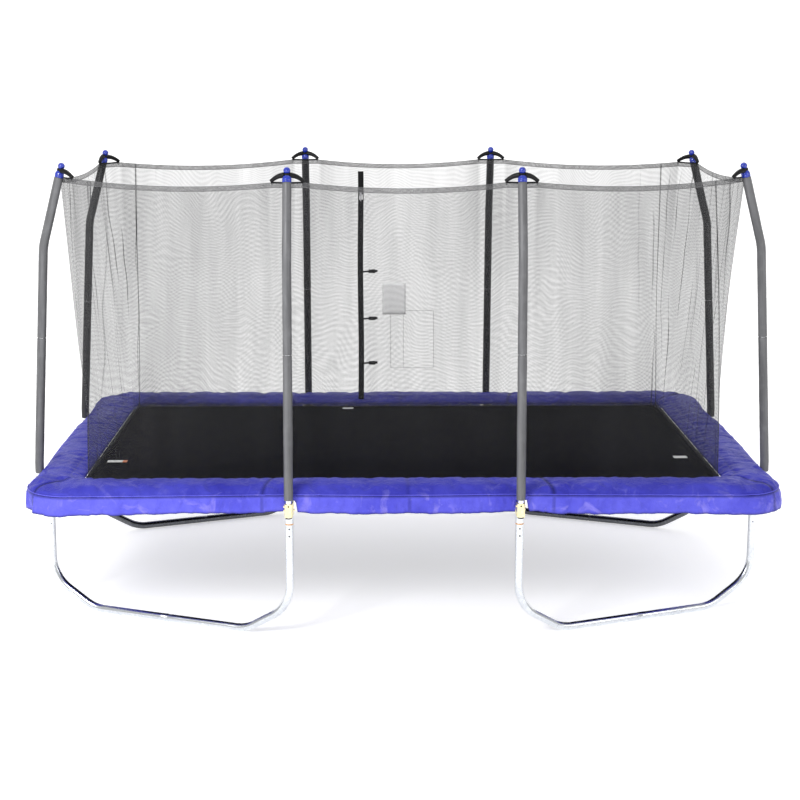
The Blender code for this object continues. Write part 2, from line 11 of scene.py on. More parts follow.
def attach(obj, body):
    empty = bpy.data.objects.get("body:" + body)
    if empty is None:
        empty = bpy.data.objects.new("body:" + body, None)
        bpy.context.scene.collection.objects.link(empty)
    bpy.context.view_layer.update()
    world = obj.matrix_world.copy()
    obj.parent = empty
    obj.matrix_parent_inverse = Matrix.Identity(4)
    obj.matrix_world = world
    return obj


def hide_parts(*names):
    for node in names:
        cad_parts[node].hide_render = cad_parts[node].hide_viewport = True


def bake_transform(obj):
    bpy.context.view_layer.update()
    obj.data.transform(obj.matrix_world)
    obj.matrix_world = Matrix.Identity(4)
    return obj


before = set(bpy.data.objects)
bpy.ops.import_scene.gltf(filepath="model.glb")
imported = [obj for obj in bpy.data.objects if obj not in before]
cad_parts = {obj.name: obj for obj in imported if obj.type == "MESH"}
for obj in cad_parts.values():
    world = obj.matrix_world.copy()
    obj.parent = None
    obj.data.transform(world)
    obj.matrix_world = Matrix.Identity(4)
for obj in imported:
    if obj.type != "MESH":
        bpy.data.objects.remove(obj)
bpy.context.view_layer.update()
UP = Vector((0, 0, 1))

# Frame tubes, as the CAD model has them.
FRAME_HALF_X = 2.261
FRAME_HALF_Y = 1.346
RAIL_Z = 0.905
RAIL_RADIUS = 0.025
FRAME_CORNER = 0.22
LONG_RAIL_END = 0.600
SHORT_RAIL_END = 0.660
UPRIGHT_X = 0.697
UPRIGHT_Y = 0.768
UPRIGHT_TOP = 0.8775
LEG_KNEE_Z = 0.205
LEG_KNEE_RUN = 0.300
KNEE_RADIUS = 0.240
HEEL_RADIUS = 0.250

# Net poles and their sleeves.
POLE_OFFSET = 0.064
POLE_RADIUS = 0.019
POLE_BOTTOM = 0.780
POLE_LEAN_Z = 0.960
POLE_LEAN = math.radians(3.2)
POLE_BEND_Z = 2.350
POLE_TILT = math.radians(14.5)
POLE_TOP = 2.800
POLE_BEND_RADIUS = 0.400
SLEEVE_RADIUS = 0.028
SLEEVE_BOTTOM = 0.893
SLEEVE_JOINT_Z = 1.770
COLLAR_DROP = 0.020

# Mat, springs and cover.
MAT_HALF_X = 1.985
MAT_HALF_Y = 1.070
MAT_CORNER = 0.100
MAT_TOP = 0.909
MAT_UNDER = 0.903
SPRINGS_LONG = 24
SPRINGS_SHORT = 13
PAD_OUT_X = 2.293
PAD_OUT_Y = 1.378
PAD_IN_X = 1.992
PAD_IN_Y = 1.081
PAD_CORNER = 0.250
PAD_UNDER = 0.9335
PAD_TOP = 0.962
SKIRT_BOTTOM = 0.810
NOTCH_LEFT = 0.026
NOTCH_RIGHT = 0.046
NOTCH_TOP = 0.883

# Net, hangers and door.
NET_HALF_X = 1.975
NET_HALF_Y = 1.060
NET_BOTTOM = 0.9105
NET_SAG = 0.035
HEM_HEIGHT = 0.032
HANGER_HALF = 0.0975
HANGER_SET_IN = 0.036
HANGER_TURN = math.radians(35)
HANGER_DROP = 0.022
RING_HEIGHT = 0.027
DOOR_X = -0.281
DOOR_BOTTOM = 0.965
DOOR_TOP = 2.690
BUCKLE_HEIGHTS = (1.940, 1.583, 1.244)
BUCKLE_X = DOOR_X + 0.092

UPRIGHTS = [
    ("front_left", Vector((-UPRIGHT_X, -FRAME_HALF_Y, 0)), Vector((0, 1, 0))),
    ("front_right", Vector((UPRIGHT_X, -FRAME_HALF_Y, 0)), Vector((0, 1, 0))),
    ("right_front", Vector((FRAME_HALF_X, -UPRIGHT_Y, 0)), Vector((-1, 0, 0))),
    ("right_back", Vector((FRAME_HALF_X, UPRIGHT_Y, 0)), Vector((-1, 0, 0))),
    ("back_right", Vector((UPRIGHT_X, FRAME_HALF_Y, 0)), Vector((0, -1, 0))),
    ("back_left", Vector((-UPRIGHT_X, FRAME_HALF_Y, 0)), Vector((0, -1, 0))),
    ("left_back", Vector((-FRAME_HALF_X, UPRIGHT_Y, 0)), Vector((1, 0, 0))),
    ("left_front", Vector((-FRAME_HALF_X, -UPRIGHT_Y, 0)), Vector((1, 0, 0))),
]


# ---------------------------------------------------------------- materials
class Paint:
    """A Principled material with short calls for its nodes. Patterns are in metres of the part."""

    def __init__(self, name, colour=(0.5, 0.5, 0.5), rough=0.5, metal=0.0, **sockets):
        self.material = bpy.data.materials.new(name)
        self.material.use_nodes = True
        self.tree = self.material.node_tree
        self.shader = self.tree.nodes["Principled BSDF"]
        self.set("Base Color", (*colour, 1.0))
        self.set("Roughness", rough)
        self.set("Metallic", metal)
        for socket, value in sockets.items():
            self.set(socket.replace("_", " "), value)

    def set(self, socket, value):
        if isinstance(value, bpy.types.NodeSocket):
            self.tree.links.new(value, self.shader.inputs[socket])
        else:
            self.shader.inputs[socket].default_value = value

    def node(self, kind, inputs=(), **settings):
        made = self.tree.nodes.new(kind)
        for key, value in settings.items():
            setattr(made, key, value)
        for key, value in dict(inputs).items():
            if isinstance(value, bpy.types.NodeSocket):
                self.tree.links.new(value, made.inputs[key])
            else:
                made.inputs[key].default_value = value
        return made

    def at(self, scale=(1, 1, 1), name=None):
        """Object coordinates, or a named attribute of the mesh, scaled."""
        if name:
            source = self.node("ShaderNodeAttribute", attribute_name=name).outputs["Vector"]
        else:
            source = self.node("ShaderNodeTexCoord").outputs["Object"]
        return self.node("ShaderNodeMapping", {"Vector": source, "Scale": scale}).outputs["Vector"]

    def attribute(self, name):
        return self.node("ShaderNodeAttribute", attribute_name=name).outputs["Fac"]

    def noise(self, scale, detail=3.0, rough=0.55, where=None, distortion=0.0):
        inputs = {"Scale": scale, "Detail": detail, "Roughness": rough, "Distortion": distortion}
        inputs["Vector"] = where or self.at()
        return self.node("ShaderNodeTexNoise", inputs).outputs["Fac"]

    def cells(self, scale, where=None, output="Distance"):
        inputs = {"Scale": scale, "Vector": where or self.at()}
        return self.node("ShaderNodeTexVoronoi", inputs).outputs[output]

    def wave(self, scale, direction="X", where=None, distortion=0.0):
        inputs = {"Scale": scale, "Distortion": distortion, "Vector": where or self.at()}
        return self.node("ShaderNodeTexWave", inputs, bands_direction=direction).outputs["Fac"]

    def ramp(self, fac, *stops):
        made = self.node("ShaderNodeValToRGB", {"Fac": fac})
        line = made.color_ramp.elements
        while len(line) < len(stops):
            line.new(0.5)
        for element, (position, value) in zip(line, stops):
            element.position = position
            colour = value if isinstance(value, tuple) else (value, value, value)
            element.color = (*colour, 1.0)
        return made.outputs["Color"]

    def math(self, operation, a, b=0.0, clamp=False):
        made = self.node("ShaderNodeMath", {0: a, 1: b}, operation=operation, use_clamp=clamp)
        return made.outputs[0]

    def fit(self, value, low, high, to_low=0.0, to_high=1.0):
        inputs = {"Value": value, "From Min": low, "From Max": high, "To Min": to_low, "To Max": to_high}
        return self.node("ShaderNodeMapRange", inputs).outputs["Result"]

    def mix(self, fac, a, b):
        made = self.node("ShaderNodeMix", data_type="RGBA")
        for index, value in ((0, fac), (6, a), (7, b)):
            if isinstance(value, bpy.types.NodeSocket):
                self.tree.links.new(value, made.inputs[index])
            else:
                made.inputs[index].default_value = (*value, 1.0) if isinstance(value, tuple) else value
        return made.outputs[2]

    def bump(self, height, strength=0.3, distance=0.001):
        made = self.node("ShaderNodeBump", {"Height": height, "Strength": strength, "Distance": distance})
        before = self.shader.inputs["Normal"].links
        if before:
            self.tree.links.new(before[0].from_socket, made.inputs["Normal"])
        self.set("Normal", made.outputs["Normal"])


def zinc_paint(name, colour, dark, rough):
    """Zinc-coated steel: crystal spangle, dull clouds and faint draw lines along the tube."""
    paint = Paint(name, colour, rough, 1.0)
    spangle = paint.cells(70.0, paint.at(name="tube"), output="Color")
    grey = paint.node("ShaderNodeSeparateColor", {"Color": spangle}).outputs["Red"]
    clouds = paint.noise(9.0, 4.0, 0.6)
    tone = paint.mix(paint.fit(grey, 0, 1, 0.0, 0.35), colour, dark)
    tone = paint.mix(paint.fit(clouds, 0.35, 0.75, 0.0, 0.45), tone, dark)
    paint.set("Base Color", tone)
    lines = paint.noise(1.0, 2.0, 0.5, paint.at((1.2, 160.0, 160.0), "tube"))
    wear = paint.math("ADD", paint.fit(clouds, 0.3, 0.7, -0.05, 0.09), paint.fit(grey, 0, 1, -0.03, 0.03))
    paint.set("Roughness", paint.math("ADD", wear, rough))
    paint.bump(lines, 0.10, 0.0004)
    paint.bump(grey, 0.05, 0.0003)
    return paint.material


GALVANISED = zinc_paint("galvanised_tube", (0.76, 0.78, 0.80), (0.46, 0.49, 0.53), 0.20)
# A darker copy of the galvanised steel for the back legs: painted shade from the mat above them.
GALVANISED_SHADED = zinc_paint("galvanised_painted_shade", (0.17, 0.175, 0.185), (0.07, 0.075, 0.085), 0.26)
POLE_STEEL = zinc_paint("pole_tube", (0.92, 0.93, 0.94), (0.70, 0.72, 0.75), 0.18)
WIRE_STEEL = zinc_paint("spring_wire", (0.86, 0.87, 0.89), (0.60, 0.62, 0.66), 0.24)


def yellow_zinc_paint():
    paint = Paint("yellow_zinc", (0.86, 0.80, 0.52), 0.28, 1.0)
    clouds = paint.noise(55.0, 4.0, 0.6)
    tone = paint.ramp(
        clouds, (0.30, (0.86, 0.82, 0.60)), (0.46, (0.88, 0.80, 0.46)),
        (0.60, (0.84, 0.72, 0.44)), (0.72, (0.72, 0.74, 0.52)),
    )
    paint.set("Base Color", tone)
    paint.set("Roughness", paint.fit(paint.noise(180.0, 3.0), 0.3, 0.7, 0.22, 0.38))
    paint.bump(paint.noise(420.0, 2.0), 0.12, 0.0004)
    return paint.material


YELLOW_ZINC = yellow_zinc_paint()


def sleeve_paint(name, low, high, rub):
    """Dark grey vinyl over foam, with a fine grain and soft lengthwise creases."""
    paint = Paint(name, low, 0.42, 0.0, Specular_IOR_Level=0.40)
    streaks = paint.noise(1.0, 4.0, 0.6, paint.at((2.0, 30.0, 30.0), "tube"))
    clouds = paint.noise(14.0, 4.0, 0.6)
    tone = paint.mix(paint.fit(streaks, 0.3, 0.7), low, high)
    tone = paint.mix(paint.fit(clouds, 0.5, 0.8, 0.0, 0.4), tone, rub)
    paint.set("Base Color", tone)
    paint.set("Roughness", paint.fit(clouds, 0.3, 0.7, 0.38, 0.56))
    grain = paint.cells(900.0)
    paint.bump(grain, 0.16, 0.0004)
    paint.bump(streaks, 0.25, 0.0012)
    return paint.material


# Two copies of one vinyl: a lighter one for the front sleeves as painted light, a near-black one for the back
# sleeves as painted shade.
SLEEVE_LIT = sleeve_paint("sleeve_skin", (0.075, 0.076, 0.080), (0.150, 0.151, 0.158), (0.21, 0.21, 0.22))
SLEEVE_SHADED = sleeve_paint(
    "sleeve_skin_painted_shade", (0.010, 0.010, 0.012), (0.026, 0.026, 0.029), (0.045, 0.045, 0.048)
)


def cap_paint():
    paint = Paint("cap_plastic", (0.010, 0.040, 0.48), 0.16, 0.0, Coat_Weight=0.5, Coat_Roughness=0.06)
    clouds = paint.noise(90.0, 3.0)
    blues = (0.006, 0.018, 0.26), (0.012, 0.038, 0.42)
    paint.set("Base Color", paint.mix(paint.fit(clouds, 0.35, 0.7), *blues))
    paint.set("Roughness", paint.fit(paint.noise(260.0, 3.0), 0.3, 0.7, 0.10, 0.24))
    paint.bump(paint.noise(600.0, 2.0), 0.05, 0.0003)
    return paint.material


CAP_PLASTIC = cap_paint()


def vinyl_paint(name, low, high, highlight_tint, rough, gloss):
    """Coated cloth: a woven base that shows faintly through the coat, soft crumples and pressed creases."""
    paint = Paint(name, low, rough, 0.0, Specular_IOR_Level=gloss)
    clouds = paint.noise(3.2, 5.0, 0.62)
    fine = paint.noise(26.0, 4.0, 0.6)
    tone = paint.mix(paint.fit(clouds, 0.32, 0.70), low, high)
    tone = paint.mix(paint.fit(fine, 0.55, 0.85, 0.0, 0.25), tone, high)
    # Pale lilac patches mixed in at random are painted highlights on the crumpled vinyl.
    highlight_patches = paint.noise(5.5, 4.0, 0.55, distortion=2.2)
    tone = paint.mix(paint.fit(highlight_patches, 0.56, 0.70, 0.0, 0.55), tone, highlight_tint)
    # Darker along the seam attribute: the stitched seams, and on the skirt's top rows a painted shadow under
    # the welt.
    seam = paint.attribute("seam")
    tone = paint.mix(paint.fit(seam, 0.0, 1.0, 0.0, 0.85), tone, (0.008, 0.009, 0.08))
    paint.set("Base Color", tone)
    paint.set("Roughness", paint.math("ADD", paint.fit(fine, 0.3, 0.7, -0.06, 0.08), rough))
    crumple = paint.noise(11.0, 5.0, 0.62, distortion=1.4)
    folds = paint.math("ABSOLUTE", paint.math("SUBTRACT", crumple, 0.5))
    paint.bump(folds, 0.80, 0.020)
    paint.bump(paint.noise(42.0, 3.0, 0.55, distortion=0.8), 0.30, 0.003)
    weave = paint.math("MULTIPLY", paint.wave(210.0, "X"), paint.wave(210.0, "Y"))
    paint.bump(weave, 0.08, 0.0003)
    return paint.material


# The third colour of each cover is the tint of its painted highlight patches.
PAD_VINYL = vinyl_paint(
    "cover_vinyl", (0.028, 0.028, 0.31), (0.060, 0.062, 0.46), (0.120, 0.115, 0.46), 0.36, 0.07
)
SKIRT_VINYL = vinyl_paint(
    "skirt_vinyl", (0.060, 0.060, 0.50), (0.120, 0.120, 0.68), (0.26, 0.23, 0.70), 0.34, 0.16
)


def mat_paint():
    """Black woven mat: crossing flat yarns, with a lighter dust on the yarn tops."""
    paint = Paint("mat_weave", (0.006, 0.006, 0.007), 0.80, 0.0, Specular_IOR_Level=0.0)
    across = paint.wave(150.0, "X")
    along = paint.wave(150.0, "Y")
    weave = paint.math("MULTIPLY", across, along)
    dust = paint.noise(5.0, 5.0, 0.6)
    tone = paint.mix(paint.math("MULTIPLY", weave, paint.fit(dust, 0.3, 0.7, 0.3, 1.0)),
                     (0.0036, 0.0037, 0.0043), (0.0090, 0.0093, 0.0105))
    seam = paint.attribute("seam")
    paint.set("Base Color", paint.mix(seam, tone, (0.004, 0.004, 0.004)))
    paint.set("Roughness", paint.fit(dust, 0.3, 0.7, 0.55, 0.72))
    paint.bump(weave, 0.35, 0.0008)
    return paint.material


MAT_WEAVE = mat_paint()


def webbing_paint(name, low, high, rough=0.62):
    """Woven tape: diagonal ribs and a fuzzy sheen."""
    paint = Paint(name, low, rough, 0.0, Specular_IOR_Level=0.10)
    ribs = paint.wave(260.0, "DIAGONAL")
    clouds = paint.noise(30.0, 4.0)
    paint.set("Base Color", paint.mix(paint.math("MULTIPLY", ribs, clouds), low, high))
    paint.set("Roughness", paint.fit(clouds, 0.3, 0.7, rough - 0.08, rough + 0.1))
    paint.bump(ribs, 0.35, 0.0006)
    return paint.material


BLACK_WEBBING = webbing_paint("black_webbing", (0.005, 0.005, 0.006), (0.018, 0.018, 0.020))


def net_paint(name, threads, knots, colour):
    """Knitted net: threads with see-through holes, closed up in folds, creases, seams and gathers."""
    paint = Paint(name, colour, 0.75, 0.0)
    place = paint.at(name="cloth")
    wales = paint.wave(62.0, "X", place, 1.2)
    courses = paint.wave(62.0, "Y", place, 1.2)
    mesh = paint.math("MAXIMUM", wales, courses)
    folds = paint.noise(1.0, 4.0, 0.55, paint.at((9.0, 0.9, 1.0), "cloth"))
    inputs = {"Vector": paint.at((1.7, 0.8, 1.0), "cloth"), "Scale": 1.0, "Detail": 2.0}
    warp = paint.node("ShaderNodeTexNoise", inputs).outputs["Color"]
    bent = paint.node("ShaderNodeVectorMath", {0: place, 1: warp}, operation="ADD").outputs[0]
    stretch = paint.wave(11.0, "Y", bent, 1.0)
    sideways = {0: warp, 1: (0.25, 0.0, 0.0)}
    sway = paint.node("ShaderNodeVectorMath", sideways, operation="MULTIPLY").outputs[0]
    strung = paint.node("ShaderNodeVectorMath", {0: place, 1: sway}, operation="ADD").outputs[0]
    creases = paint.fit(paint.wave(2.6, "X", strung), 0.965, 1.0, 0.0, 0.50)
    faded = paint.fit(paint.noise(1.0, 2.0, 0.5, paint.at((5.0, 1.2, 1.0), "cloth")), 0.46, 0.60)
    creases = paint.math("MULTIPLY", paint.math("MULTIPLY", creases, faded), paint.attribute("strain"))
    cover = paint.fit(mesh, 0.0, 1.0, threads - knots, threads + knots)
    for more in (
        creases, paint.fit(paint.attribute("seam"), 0.70, 0.95, 0.0, 0.5),
        paint.fit(folds, 0.3, 0.7, -0.045, 0.055), paint.fit(stretch, 0.0, 1.0, -0.045, 0.050),
    ):
        cover = paint.math("ADD", cover, more)
    paint.set("Alpha", paint.math("ADD", cover, paint.attribute("gather"), clamp=True))
    shade = paint.noise(40.0, 3.0, 0.6, place)
    paint.set("Base Color", paint.mix(shade, colour, tuple(2.2 * part for part in colour)))
    paint.bump(mesh, 0.3, 0.0008)
    return paint.material


NET_KNIT = net_paint("net_knit", 0.250, 0.085, (0.012, 0.012, 0.013))
HEM_KNIT = net_paint("hem_knit", 0.56, 0.08, (0.055, 0.055, 0.057))


def clouded_paint(name, colour, tint, share, rough, smooth, clouds, grain, metal=0.0, **sockets):
    """One colour clouded with another, which also varies the roughness, over a fine grain."""
    paint = Paint(name, colour, rough, metal, **sockets)
    found = paint.noise(*clouds)
    paint.set("Base Color", paint.mix(paint.fit(found, *share) if share else found, colour, tint))
    paint.set("Roughness", paint.fit(found, 0.3, 0.7, *smooth))
    paint.bump(paint.noise(grain[0], grain[1]), grain[2], grain[3])
    return paint.material


BLACK_PLASTIC = clouded_paint(
    "black_plastic", (0.0035, 0.0035, 0.004), (0.010, 0.010, 0.011), None, 0.38, (0.30, 0.48),
    (70.0, 3.0), (700.0, 2.0, 0.18, 0.0003), Specular_IOR_Level=0.18,
)
WHITE_LABEL, ORANGE_LABEL = [
    clouded_paint(name, colour, tint, (0.4, 0.8), 0.42, (0.34, 0.52), (60.0, 4.0), (220.0, 3.0, 0.10, 0.0004))
    for name, colour, tint in (
        ("white_label", (0.93, 0.93, 0.93), (0.84, 0.84, 0.85)),
        ("orange_label", (0.75, 0.20, 0.05), (0.62, 0.15, 0.04)),
    )
]
SLIDER_PLATE = clouded_paint(
    "slider_plate", (0.86, 0.86, 0.88), (0.62, 0.62, 0.65), None, 0.2, (0.14, 0.34),
    (300.0, 4.0), (300.0, 4.0, 0.1, 0.0003), metal=1.0,
)


def rust_paint():
    paint = Paint("weld_line", (0.55, 0.27, 0.09), 0.6, 0.35)
    clouds = paint.noise(160.0, 4.0)
    paint.set("Base Color", paint.ramp(clouds, (0.35, (0.72, 0.42, 0.18)), (0.65, (0.40, 0.17, 0.05))))
    paint.set("Roughness", paint.fit(clouds, 0.3, 0.7, 0.5, 0.75))
    paint.bump(clouds, 0.3, 0.0006)
    return paint.material


WELD_LINE = rust_paint()


# ---------------------------------------------------------------- geometry
def mesh_object(name, verts, faces, material, smooth=True, **attributes):
    mesh = bpy.data.meshes.new(name)
    mesh.from_pydata([tuple(v) for v in verts], [], faces)
    mesh.update()
    if smooth:
        mesh.shade_smooth()
    mesh.materials.append(material)
    for key, values in attributes.items():
        values = np.asarray(values, dtype=np.float32)
        kind = "FLOAT" if values.ndim == 1 else "FLOAT_VECTOR"
        layer = mesh.attributes.new(key, kind, "POINT")
        layer.data.foreach_set("value" if values.ndim == 1 else "vector", values.ravel())
    obj = bpy.data.objects.new(name, mesh)
    bpy.context.scene.collection.objects.link(obj)
    return obj


def settle(obj, nodes=(), body="frame"):
    """The piece rides on its body and stands for its CAD nodes."""
    if nodes:
        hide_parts(*nodes)
    if body:
        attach(obj, body)
    return obj


def ring_faces(count, sides, closed=False, loop=True, caps=False, flip=False):
    """Quads between rings of points that follow each other, with the two ends filled if asked."""
    faces = []
    for k in range(count if closed else count - 1):
        a, b = k * sides, (k + 1) % count * sides
        for side in range(sides if loop else sides - 1):
            turn = (side + 1) % sides
            faces.append((a + side, a + turn, b + turn, b + side))
    if caps:
        faces.append(tuple(reversed(range(sides))))
        faces.append(tuple(range((count - 1) * sides, count * sides)))
    return [face[:1] + face[:0:-1] for face in faces] if flip else faces


def rounded(points, radii, steps=12):
    """The polyline with each inner corner turned into an arc of its radius."""
    path = [Vector(points[0])]
    for before, corner, after, radius in zip(points, points[1:], points[2:], radii):
        corner = Vector(corner)
        back = (Vector(before) - corner).normalized()
        on = (Vector(after) - corner).normalized()
        half = back.angle(on) / 2
        reach = radius / math.tan(half)
        centre = corner + (back + on).normalized() * radius / math.sin(half)
        first = corner + back * reach - centre
        last = corner + on * reach - centre
        turn = first.angle(last)
        for step in range(steps + 1):
            share = step / steps
            arm = first * math.sin((1 - share) * turn) + last * math.sin(share * turn)
            path.append(centre + arm / math.sin(turn))
    path.append(Vector(points[-1]))
    return path


def spaced(path, step):
    """The path's own points and more between them, no further apart than the step."""
    points = [path[0]]
    for a, b in zip(path, path[1:]):
        count = max(1, math.ceil((b - a).length / step - 0.01))
        points += [a.lerp(b, k / count) for k in range(1, count + 1)]
    return points


def sweep_data(path, radius, sides=24, closed=False, ends="round", flat=1.0, side_hint=None):
    """Rings round a path, as (verts, faces, tube coordinates). The ends are round, plain caps or none."""
    path = [Vector(point) for point in path]
    radii = list(radius) if hasattr(radius, "__len__") else [radius] * len(path)
    count = len(path)
    if not closed and ends == "round":
        first = (path[0] - path[1]).normalized()
        last = (path[-1] - path[-2]).normalized()
        lip = min(0.0012, radii[0] * 0.25)
        start, stop = path[0], path[-1]
        path = [start, start - first * lip] + path[1:-1] + [stop - last * lip, stop]
        radii = [radii[0] - lip, radii[0]] + radii[1:-1] + [radii[-1], radii[-1] - lip]
        count = len(path)
    tangents = []
    for k in range(count):
        before = path[k - 1] if closed or k else path[k]
        after = path[(k + 1) % count] if closed or k < count - 1 else path[k]
        tangents.append((after - before).normalized())
    hint = side_hint or (UP if abs(tangents[0].z) < 0.9 else Vector((1, 0, 0)))
    normal = (hint - tangents[0] * hint.dot(tangents[0])).normalized()
    verts, coords, along = [], [], 0.0
    for k in range(count):
        normal = (normal - tangents[k] * normal.dot(tangents[k])).normalized()
        across = tangents[k].cross(normal)
        if k:
            along += (path[k] - path[k - 1]).length
        for side in range(sides):
            angle = 2 * math.pi * side / sides
            arm = normal * math.cos(angle) * flat + across * math.sin(angle)
            verts.append(path[k] + arm * radii[k])
            coords.append((along, radii[k] * math.cos(angle), radii[k] * math.sin(angle)))
    return verts, ring_faces(count, sides, closed, caps=not closed and ends != "none"), coords


def join_data(*pieces):
    verts, faces, coords = [], [], []
    for more_verts, more_faces, more_coords in pieces:
        base = len(verts)
        verts += list(more_verts)
        coords += list(more_coords)
        faces += [tuple(base + index for index in face) for face in more_faces]
    return verts, faces, coords


def sweep(name, path, radius, material, **options):
    verts, faces, coords = sweep_data(path, radius, **options)
    return mesh_object(name, verts, faces, material, tube=coords)


def assemble(name, pieces, material, nodes=(), body="frame", smooth=True):
    """One settled mesh from several pieces of (verts, faces, tube coordinates)."""
    verts, faces, coords = join_data(*pieces)
    return settle(mesh_object(name, verts, faces, material, smooth, tube=coords), nodes, body)


def turned_data(profile, centre, axis, sides=40, flip=True):
    """A (radius, height) profile turned about an axis through a point. Unflipped, it runs upwards."""
    axis = Vector(axis).normalized()
    side = axis.orthogonal().normalized()
    other = axis.cross(side)
    verts = []
    for radius, height in profile:
        for step in range(sides):
            angle = 2 * math.pi * step / sides
            arm = side * math.cos(angle) + other * math.sin(angle)
            verts.append(Vector(centre) + arm * max(radius, 0.0002) + axis * height)
    return verts, ring_faces(len(profile), sides, caps=True, flip=flip), [tuple(v) for v in verts]


def bolt_data(centre, axis, radius, height):
    """A domed bolt head on a surface, its axis pointing out."""
    rings = [(1.25, 0.0), (1.25, 0.0011), (1.0, 0.0013)]
    rings += [(0.98, height * 0.6), (0.75, height * 0.9), (0.3, height)]
    return turned_data([(share * radius, rise) for share, rise in rings], centre, axis, 16, False)


def ruffle(point, scale, seed=0.0):
    """Smooth noise from -1 to 1 at a place."""
    place = point[0] * scale + seed, point[1] * scale - seed, point[2] * scale + 0.37 * seed
    return noise.noise(Vector(place))


# ---------------------------------------------------------------- frame tubes
CORNERS = (("front_left", -1, -1), ("front_right", 1, -1), ("back_right", 1, 1), ("back_left", -1, 1))
SPIGOT_RADIUS = 0.0232
WELD_PROFILE = [(SPIGOT_RADIUS, 0.012), (0.0262, 0.004), (0.0280, -0.006), (SPIGOT_RADIUS, -0.012)]
for corner, sign_x, sign_y in CORNERS:
    path = rounded(
        [
            (sign_x * LONG_RAIL_END, sign_y * FRAME_HALF_Y, RAIL_Z),
            (sign_x * FRAME_HALF_X, sign_y * FRAME_HALF_Y, RAIL_Z),
            (sign_x * FRAME_HALF_X, sign_y * SHORT_RAIL_END, RAIL_Z),
        ],
        [FRAME_CORNER],
    )
    pieces = [sweep_data(spaced(path, 0.08), RAIL_RADIUS, sides=32)]
    for place in ((sign_x * UPRIGHT_X, sign_y * FRAME_HALF_Y), (sign_x * FRAME_HALF_X, sign_y * UPRIGHT_Y)):
        spigot = [(*place, RAIL_Z - 0.012), (*place, UPRIGHT_TOP - 0.02)]
        pieces.append(sweep_data(spigot, SPIGOT_RADIUS, sides=32))
        pieces.append(turned_data(WELD_PROFILE, (*place, UPRIGHT_TOP + 0.008), UP))
    assemble("corner_tube_" + corner, pieces, GALVANISED, ["corner_rail_" + corner])

for kind, side, middle, half in (
    ("long", "front", (0, -FRAME_HALF_Y, RAIL_Z), (LONG_RAIL_END, 0, 0)),
    ("long", "back", (0, FRAME_HALF_Y, RAIL_Z), (LONG_RAIL_END, 0, 0)),
    ("short", "left", (-FRAME_HALF_X, 0, RAIL_Z), (0, SHORT_RAIL_END, 0)),
    ("short", "right", (FRAME_HALF_X, 0, RAIL_Z), (0, SHORT_RAIL_END, 0)),
):
    start, stop = Vector(middle) - Vector(half), Vector(middle) + Vector(half)
    inset = (stop - start).normalized()
    path = [start + inset * 0.0004, start + inset * 0.004]
    path += spaced([start + inset * 0.02, stop - inset * 0.02], 0.1)
    path += [stop - inset * 0.004, stop - inset * 0.0004]
    lip = RAIL_RADIUS - 0.0014
    radii = [lip] + [RAIL_RADIUS] * (len(path) - 2) + [lip]
    tube = sweep("%s_tube_%s" % (kind, side), path, radii, GALVANISED, sides=32)
    settle(tube, ["%s_rail_%s" % (kind, side)])

# Legs, with the swaged joint in the middle of the base, lock buttons, a bolt and drain holes drawn as black
# discs, painted shade for their dark insides.
HOLE_PROFILE = [(0.0, 0.0026), (0.0044, 0.0026), (0.0052, 0.0018), (0.0052, 0.0)]
for corner, sign_x, sign_y in CORNERS:
    feet = {
        "long": Vector((sign_x * UPRIGHT_X, sign_y * FRAME_HALF_Y, 0)),
        "short": Vector((sign_x * FRAME_HALF_X, sign_y * UPRIGHT_Y, 0)),
    }
    middle = (feet["long"] + feet["short"]) / 2
    for end, foot in feet.items():
        tag = "%s_%s" % (corner, end)
        along = (middle - foot).normalized()
        reach = (middle - foot).length
        base = foot + UP * RAIL_RADIUS
        path = rounded(
            [
                foot + UP * UPRIGHT_TOP,
                foot + UP * LEG_KNEE_Z,
                base + along * LEG_KNEE_RUN,
                base + along * (reach - (0.012 if end == "long" else 0.0002)),
            ],
            [KNEE_RADIUS, HEEL_RADIUS],
            16,
        )
        path = spaced(path, 0.06)
        radii = [RAIL_RADIUS] * len(path)
        if end == "long":
            path += [base + along * (reach - 0.003), base + along * (reach + 0.03)]
            radii += [0.0236, SPIGOT_RADIUS]
        outward = Vector((0, sign_y, 0)) if end == "long" else Vector((sign_x, 0, 0))
        side = along - outward * along.dot(outward)
        button = bolt_data(foot + UP * 0.842 - outward * (RAIL_RADIUS - 0.0012), -outward, 0.0045, 0.004)
        # Back legs take the darker copy, as painted shade.
        paint = GALVANISED if sign_y < 0 else GALVANISED_SHADED
        tube = sweep_data(path, radii, sides=36)
        assemble("leg_tube_" + tag, [tube, button], paint, ["leg_" + tag])
        bolt_at = foot + UP * 0.56 + side.normalized() * (RAIL_RADIUS - 0.0006)
        bolt = bolt_data(bolt_at, side, 0.0052, 0.0045)
        assemble("leg_bolt_" + tag, [bolt], GALVANISED)
        # Each drain hole is a black disc just proud of the tube, painted as the shade inside the hole.
        holes = []
        for height in (0.700, 0.655):
            centre = foot + UP * height + outward * (RAIL_RADIUS - 0.0021)
            holes.append(turned_data(HOLE_PROFILE, centre, outward, 16))
        assemble("leg_hole_shade_" + tag, holes, BLACK_PLASTIC)
        line = [foot + UP * (0.7240 + 0.0010 * k) for k in (0, 1, 8, 9)]
        rings = [0.0249, 0.02525, 0.02525, 0.0249]
        weld = sweep("leg_weld_line_" + tag, line, rings, WELD_LINE, sides=36, ends="none")
        settle(weld)


